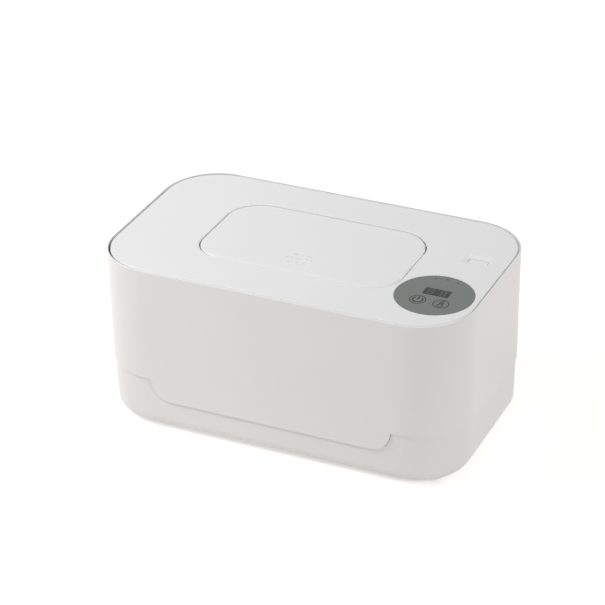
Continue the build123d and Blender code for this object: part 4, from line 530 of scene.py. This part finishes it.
def mesh_piece(name, shape, material, body):
    """Turns a bmesh into a piece that rides on a body."""
    mesh = bpy.data.meshes.new(name)
    bmesh.ops.recalc_face_normals(shape, faces=shape.faces)
    shape.to_mesh(mesh)
    shape.free()
    mesh.materials.append(material)
    piece = bpy.data.objects.new(name, mesh)
    bpy.context.scene.collection.objects.link(piece)
    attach(piece, body)
    return piece


def prism(shape, outline, low, high):
    """Adds an upright prism over an outline of (x, y) points to a bmesh."""
    bottom = [shape.verts.new((x, y, low)) for x, y in outline]
    top = [shape.verts.new((x, y, high)) for x, y in outline]
    count = len(outline)
    shape.faces.new(top)
    shape.faces.new(list(reversed(bottom)))
    for i in range(count):
        j = (i + 1) % count
        shape.faces.new((bottom[i], bottom[j], top[j], top[i]))


def arc_points(centre, radius, start, end, steps):
    """Points along an arc, from one angle in degrees to another."""
    turns = [math.radians(start + (end - start) * i / steps) for i in range(steps + 1)]
    return [(centre[0] + radius * math.cos(turn), centre[1] + radius * math.sin(turn)) for turn in turns]


def arc_band(shape, centre, radius, width, start, end, low, high, steps=ARC_STEPS):
    """A curved bar: part of a ring, or a whole one when start and end are a full turn apart."""
    whole = abs(end - start) >= FULL_TURN
    count = steps if whole else steps + 1

    def edge(reach, z):
        return [shape.verts.new((x, y, z)) for x, y in arc_points(centre, reach, start, end, steps)[:count]]

    outer_low, inner_low = edge(radius + width / 2, low), edge(radius - width / 2, low)
    outer_high, inner_high = edge(radius + width / 2, high), edge(radius - width / 2, high)
    for i in range(count if whole else count - 1):
        j = (i + 1) % count
        shape.faces.new((outer_high[i], outer_high[j], inner_high[j], inner_high[i]))
        shape.faces.new((outer_low[i], inner_low[i], inner_low[j], outer_low[j]))
        shape.faces.new((outer_low[i], outer_low[j], outer_high[j], outer_high[i]))
        shape.faces.new((inner_low[i], inner_high[i], inner_high[j], inner_low[j]))
    if not whole:
        for i in (0, count - 1):
            shape.faces.new((outer_low[i], outer_high[i], inner_high[i], inner_low[i]))


def bar_outline(x0, y0, x1, y1, width, steps=END_STEPS):
    """A straight bar with round ends, as (x, y) points."""
    angle = math.degrees(math.atan2(y1 - y0, x1 - x0))
    far = arc_points((x1, y1), width / 2, angle - 90, angle + 90, steps)
    return far + arc_points((x0, y0), width / 2, angle + 90, angle + 270, steps)


# The panel's print


def draw_power(shape, place, width):
    """A ring that is open at the top, and a short bar in the gap."""
    x, y = place
    start, end = UPWARDS + POWER_HALF_GAP, UPWARDS + FULL_TURN - POWER_HALF_GAP
    arc_band(shape, place, POWER_RADIUS, width, start, end, *PRINT_LAYER)
    prism(shape, bar_outline(x, y + POWER_BAR[0], x, y + POWER_BAR[1], width), *PRINT_LAYER)


def draw_thermometer(shape, place, width):
    """A tube with a round top that opens into a bulb, and the column in the tube."""
    x, y = place
    bulb = (x, y - BULB_DROP)
    top = y + TUBE_TOP
    line = width * OUTLINE_SHARE
    mouth = math.degrees(math.asin(TUBE_HALF / BULB_RADIUS))
    shoulder = bulb[1] + math.sqrt(BULB_RADIUS ** 2 - TUBE_HALF ** 2)
    arc_band(shape, bulb, BULB_RADIUS, line, UPWARDS + mouth, UPWARDS + FULL_TURN - mouth, *PRINT_LAYER)
    for wall in (x - TUBE_HALF, x + TUBE_HALF):
        prism(shape, bar_outline(wall, shoulder, wall, top, line), *PRINT_LAYER)
    arc_band(shape, (x, top), TUBE_HALF, line, 0, HALF_TURN, *PRINT_LAYER, steps=TUBE_STEPS)
    prism(shape, bar_outline(x, shoulder, x, top - COLUMN_SHORT, line * COLUMN_SHARE), *PRINT_LAYER)


def draw_digit(shape, place, height):
    """The seven unlit bars of one digit."""
    half, tall = height * DIGIT_HALF_WIDTH, height * DIGIT_HALF_HEIGHT
    gap, bar = height * DIGIT_GAP, height * DIGIT_BAR
    rows = [(-half + gap, side * tall, half - gap, side * tall) for side in (-1, 0, 1)]
    columns = [
        (side * half, low + gap, side * half, low + tall - gap) for side in (-1, 1) for low in (-tall, 0.0)
    ]
    x, y = place
    for x0, y0, x1, y1 in rows + columns:
        prism(shape, bar_outline(x + x0, y + y0, x + x1, y + y1, bar, DIGIT_END_STEPS), *PRINT_LAYER)


# The coil springs


def spring_climb(share, flat):
    """How far along its length a coil has got, with a flat turn at each end."""
    first = min(share / flat, 1.0)
    between = min(1.0, max(0.0, (share - flat) / (1 - 2 * flat)))
    last = max(0.0, (share - 1 + flat) / flat)
    return CLOSED_RISE * first + (1 - 2 * CLOSED_RISE) * between + CLOSED_RISE * last


def wound_spring(name, stands_for, axis, turns_and_travel, material):
    """A coil spring with closed ends in place of the plain one."""
    turns, travel = turns_and_travel
    low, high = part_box(stands_for)
    along = Vector(axis)
    length = abs((high - low).dot(along))
    start = (low + high) / 2 - along * length / 2
    across = Vector((along.z, 0.0, along.x))
    beside = along.cross(across)
    radius = abs((high - low).dot(across)) / 2 - SPRING_WIRE
    steps = turns * SPRING_STEPS
    shape = bmesh.new()
    rings = []
    for i in range(steps + 1):
        turn = 2 * math.pi * turns * i / steps
        climb = spring_climb(i / steps, SPRING_CLOSED / turns)
        out = across * math.cos(turn) + beside * math.sin(turn)
        centre = start + along * (SPRING_WIRE + (length - 2 * SPRING_WIRE) * climb) + out * radius
        rings.append([
            shape.verts.new(centre + (out * math.cos(a) + along * math.sin(a)) * SPRING_WIRE)
            for a in (2 * math.pi * k / WIRE_SIDES for k in range(WIRE_SIDES))
        ])
    for one, two in zip(rings, rings[1:]):
        for k in range(WIRE_SIDES):
            n = (k + 1) % WIRE_SIDES
            shape.faces.new((one[k], one[n], two[n], two[k]))
    shape.faces.new(rings[0])
    shape.faces.new(rings[-1])
    spring = mesh_piece(name, shape, material, LID)
    for face in spring.data.polygons:
        face.use_smooth = True
    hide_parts(stands_for)
    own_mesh(spring)


# The stage


def aim(obj, location, target):
    obj.location = location
    direction = Vector(target) - Vector(location)
    obj.rotation_euler = direction.to_track_quat("-Z", "Y").to_euler()


def make_camera():
    back = Vector((
        math.sin(CAMERA_AZIMUTH) * math.cos(CAMERA_ELEVATION),
        -math.cos(CAMERA_AZIMUTH) * math.cos(CAMERA_ELEVATION),
        math.sin(CAMERA_ELEVATION),
    ))
    right = Vector((math.cos(CAMERA_AZIMUTH), math.sin(CAMERA_AZIMUTH), 0.0))
    up = back.cross(right)
    rolled_right = right * math.cos(CAMERA_ROLL) + up * math.sin(CAMERA_ROLL)
    rolled_up = up * math.cos(CAMERA_ROLL) - right * math.sin(CAMERA_ROLL)
    data = bpy.data.cameras.new("Camera")
    data.lens = CAMERA_LENS
    data.sensor_width = CAMERA_SENSOR
    data.shift_x = SHIFT_RIGHT / FRAME_WIDTH
    data.shift_y = SHIFT_UP / FRAME_WIDTH
    data.clip_start = CLIP_START
    camera = bpy.data.objects.new("Camera", data)
    axes = Matrix((rolled_right, rolled_up, back)).transposed().to_4x4()
    camera.matrix_world = Matrix.Translation(Vector((0, 0, TARGET_Z)) + back * CAMERA_DISTANCE) @ axes
    bpy.context.scene.collection.objects.link(camera)
    bpy.context.scene.camera = camera


def seen_rays(tree):
    """1 for rays that show the background itself, straight on, in a gloss or through glass."""
    path = node(tree, "ShaderNodeLightPath")
    first = node(tree, "ShaderNodeMath", operation="MAXIMUM")
    second = node(tree, "ShaderNodeMath", operation="MAXIMUM")
    tree.links.new(path.outputs["Is Camera Ray"], first.inputs[0])
    tree.links.new(path.outputs["Is Glossy Ray"], first.inputs[1])
    tree.links.new(first.outputs[0], second.inputs[0])
    tree.links.new(path.outputs["Is Transmission Ray"], second.inputs[1])
    return second.outputs[0]


def make_world(stage):
    world = bpy.data.worlds.new("Room")
    bpy.context.scene.world = world
    world.use_nodes = True
    tree = world.node_tree
    room = tree.nodes["Background"]
    room.inputs["Color"].default_value = rgba(stage.sky_colour)
    room.inputs["Strength"].default_value = stage.sky_strength
    backdrop = node(tree, "ShaderNodeBackground")
    backdrop.inputs["Color"].default_value = WHITE
    backdrop.inputs["Strength"].default_value = 1.0
    mix = node(tree, "ShaderNodeMixShader")
    tree.links.new(seen_rays(tree), mix.inputs["Fac"])
    tree.links.new(room.outputs[0], mix.inputs[1])
    tree.links.new(backdrop.outputs[0], mix.inputs[2])
    tree.links.new(mix.outputs[0], tree.nodes["World Output"].inputs["Surface"])


def make_floor(stage):
    material, tree, shader = new_material("Floor")
    shader.inputs["Base Color"].default_value = rgba(stage.floor_colour)
    shader.inputs["Roughness"].default_value = FLOOR_ROUGHNESS
    shader.inputs["Specular IOR Level"].default_value = 0.0
    shader.inputs["Emission Color"].default_value = WHITE
    lift = node(tree, "ShaderNodeMath", operation="MULTIPLY")
    lift.inputs[1].default_value = stage.floor_lift
    tree.links.new(seen_rays(tree), lift.inputs[0])
    tree.links.new(lift.outputs[0], shader.inputs["Emission Strength"])
    shape = bmesh.new()
    corners = ((-1, -1), (1, -1), (1, 1), (-1, 1))
    shape.faces.new([shape.verts.new((x * FLOOR_HALF, y * FLOOR_HALF, FLOOR_Z)) for x, y in corners])
    mesh = bpy.data.meshes.new("Floor")
    shape.to_mesh(mesh)
    shape.free()
    mesh.materials.append(material)
    floor = bpy.data.objects.new("Floor", mesh)
    bpy.context.scene.collection.objects.link(floor)


def make_lamp(name, kind, strength, location, target):
    data = bpy.data.lights.new(name, kind)
    data.energy = strength
    lamp = bpy.data.objects.new(name, data)
    aim(lamp, location, target)
    bpy.context.scene.collection.objects.link(lamp)
    return data


def make_softbox(name, location, size, power):
    data = make_lamp(name, "AREA", power, location, (0.0, 0.0, TARGET_Z))
    data.shape = "RECTANGLE"
    data.size = size
    data.size_y = size


def make_sun(name, strength, direction_and_spread):
    direction, spread = direction_and_spread
    make_lamp(name, "SUN", strength, direction, (0.0, 0.0, 0.0)).angle = math.radians(spread)


class WARMER_OT_stage(bpy.types.Operator):
    """Adds the floor, the room's light, the lamps and the camera"""

    bl_idname = "warmer.stage"
    bl_label = "Stage"

    def execute(self, context):
        stage = settings()[0]
        context.scene.view_settings.view_transform = "Standard"
        make_camera()
        make_world(stage)
        make_floor(stage)
        make_softbox("Key", KEY_PLACE, KEY_SIZE, stage.key_power)
        make_sun("Top", stage.top_strength, TOP_LIGHT)
        make_sun("Side", stage.side_strength, SIDE_LIGHT)
        make_sun("Back", stage.back_strength, BACK_LIGHT)
        return {"FINISHED"}


# The warmer's own pieces


class WARMER_OT_shells(bpy.types.Operator):
    """Finishes the two shells of the body, the feet and the inlet"""

    bl_idname = "warmer.shells"
    bl_label = "Shells"

    def execute(self, context):
        finish = settings()[1]
        shell = plastic("White shell", finish.shell_colour, finish.shell_roughness)
        base_colour = shade(finish.shell_colour, BASE_SHADE)
        dress(shell, "upper_shell", "lid_cover", "flap", "release_button")
        dress(plastic("White base", base_colour, finish.shell_roughness + BASE_DULLER), "base_housing")
        dress(listed("Foot rubber"), "rubber_feet")
        dress(listed("Inlet plastic"), "dc_jack")
        return {"FINISHED"}


class WARMER_OT_tub(bpy.types.Operator):
    """Finishes the tub, the lid's liner, the dispenser and their seals"""

    bl_idname = "warmer.tub"
    bl_label = "Tub and Liner"

    def execute(self, context):
        finish = settings()[1]
        liner = listed("Liner plastic", colour=shade(finish.tub_colour, LINER_SHADE))
        dress(listed("Tub plastic", colour=finish.tub_colour), "wipe_tub")
        dress(liner, "lid_liner", "dispenser_plate")
        dress(listed("Grey silicone"), "lid_gasket", "flap_seal")
        dress(listed("White silicone"), "port_membrane")
        return {"FINISHED"}


class WARMER_OT_control_panel(bpy.types.Operator):
    """Finishes the round panel, prints its symbols and lays out its display"""

    bl_idname = "warmer.control_panel"
    bl_label = "Control Panel"

    def execute(self, context):
        _, finish, panel = settings()
        dress(listed("Panel grey", colour=finish.panel_colour), "control_panel")
        dress(listed("Display window", colour=finish.display_colour), "display_window")
        dress(listed("Module plastic"), "display_module")
        dress(listed("Lamp lens", colour=finish.lamp_colour), "indicator_lamps")
        ink = listed("Panel print", colour=finish.print_colour)
        for name, place, draw in (
            ("power_symbol", POWER_KEY, draw_power),
            ("temperature_symbol", TEMPERATURE_KEY, draw_thermometer),
        ):
            shape = bmesh.new()
            arc_band(shape, place, panel.badge_radius, panel.line_width, 0, FULL_TURN, *PRINT_LAYER)
            draw(shape, place, panel.symbol_width)
            mesh_piece(name, shape, ink, LID)
        unlit = listed("Unlit segment", colour=finish.segment_colour)
        shape = bmesh.new()
        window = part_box("display_window")
        middle = [(window[0][i] + window[1][i]) / 2 for i in (0, 1)]
        for side in (-1, 1):
            draw_digit(shape, (middle[0] + side * DIGIT_SPREAD, middle[1]), panel.digit_height)
        mesh_piece("display_segments", shape, unlit, LID)
        return {"FINISHED"}


class WARMER_OT_heater(bpy.types.Operator):
    """Finishes the heater under the tub"""

    bl_idname = "warmer.heater"
    bl_label = "Heater"

    def execute(self, context):
        dress(listed("Spreader aluminium"), "heat_spreader")
        dress(listed("Film heater"), "heating_film")
        dress(listed("Insulation foam"), "insulation_pad")
        dress(listed("Fuse sleeve"), "thermal_fuse")
        dress(listed("Sensor bead"), "temperature_sensor")
        return {"FINISHED"}


class WARMER_OT_boards(bpy.types.Operator):
    """Finishes the circuit boards, their components and the wires"""

    bl_idname = "warmer.boards"
    bl_label = "Boards and Wires"

    def execute(self, context):
        dress(listed("Circuit board"), "power_board", "control_board")
        dress(listed("Component black"), "power_board_parts", "control_board_parts")
        dress(listed("Red lead"), "heater_leads")
        dress(listed("White lead"), "sensor_lead")
        dress(listed("Black lead"), "jack_leads", "body_harness", "lid_harness")
        return {"FINISHED"}


class WARMER_OT_metalwork(bpy.types.Operator):
    """Finishes the hinges, the catches, the springs and the screws"""

    bl_idname = "warmer.metalwork"
    bl_label = "Metalwork"

    def execute(self, context):
        dress(listed("Pressed steel"), "hinge_brackets", "latch_strike")
        dress(listed("Screw steel"), *[name for name in NODES if name.endswith("screws")])
        dress(listed("Pin steel"), "lid_hinge_pins", "flap_hinge_pins")
        wire = listed("Spring wire")
        dress(wire, "touch_latch_spring", "bolt_spring", "touch_springs")
        wound_spring("bolt_return_spring", "bolt_spring", (1, 0, 0), BOLT_SPRING, wire)
        wound_spring(
            "plunger_return_spring", "touch_latch_spring", (0, 0, 1), PLUNGER_SPRING,
            wire,
        )
        dress(listed("Acetal"), "latch_bolt", "touch_latch_plunger")
        dress(listed("Latch case"), "touch_latch_body")
        return {"FINISHED"}


class WARMER_PT_sidebar(bpy.types.Panel):
    """Lists the warmer's settings and the steps that build it"""

    bl_idname = "WARMER_PT_sidebar"
    bl_label = "Wipe Warmer"
    bl_space_type = "VIEW_3D"
    bl_region_type = "UI"
    bl_category = "Wipe Warmer"

    def draw(self, context):
        for group in (context.scene.warmer_stage, context.scene.warmer_finish, context.scene.warmer_panel):
            box = self.layout.box()
            for name in group.__annotations__:
                box.prop(group, name)
        for step in STEPS:
            self.layout.operator(step.bl_idname)


SETTINGS = (WarmerStageSettings, WarmerFinishSettings, WarmerPanelSettings)
STEPS = (
    WARMER_OT_stage,
    WARMER_OT_shells,
    WARMER_OT_tub,
    WARMER_OT_control_panel,
    WARMER_OT_heater,
    WARMER_OT_boards,
    WARMER_OT_metalwork,
)
CLASSES = SETTINGS + STEPS + (WARMER_PT_sidebar,)


def register():
    for cls in CLASSES:
        bpy.utils.register_class(cls)
    bpy.types.Scene.warmer_stage = PointerProperty(type=WarmerStageSettings)
    bpy.types.Scene.warmer_finish = PointerProperty(type=WarmerFinishSettings)
    bpy.types.Scene.warmer_panel = PointerProperty(type=WarmerPanelSettings)


def unregister():
    del bpy.types.Scene.warmer_panel
    del bpy.types.Scene.warmer_finish
    del bpy.types.Scene.warmer_stage
    for cls in reversed(CLASSES):
        bpy.utils.unregister_class(cls)


def main():
    register()
    for step in STEPS:
        group, name = step.bl_idname.split(".")
        getattr(getattr(bpy.ops, group), name)()


if __name__ == "__main__":
    main()
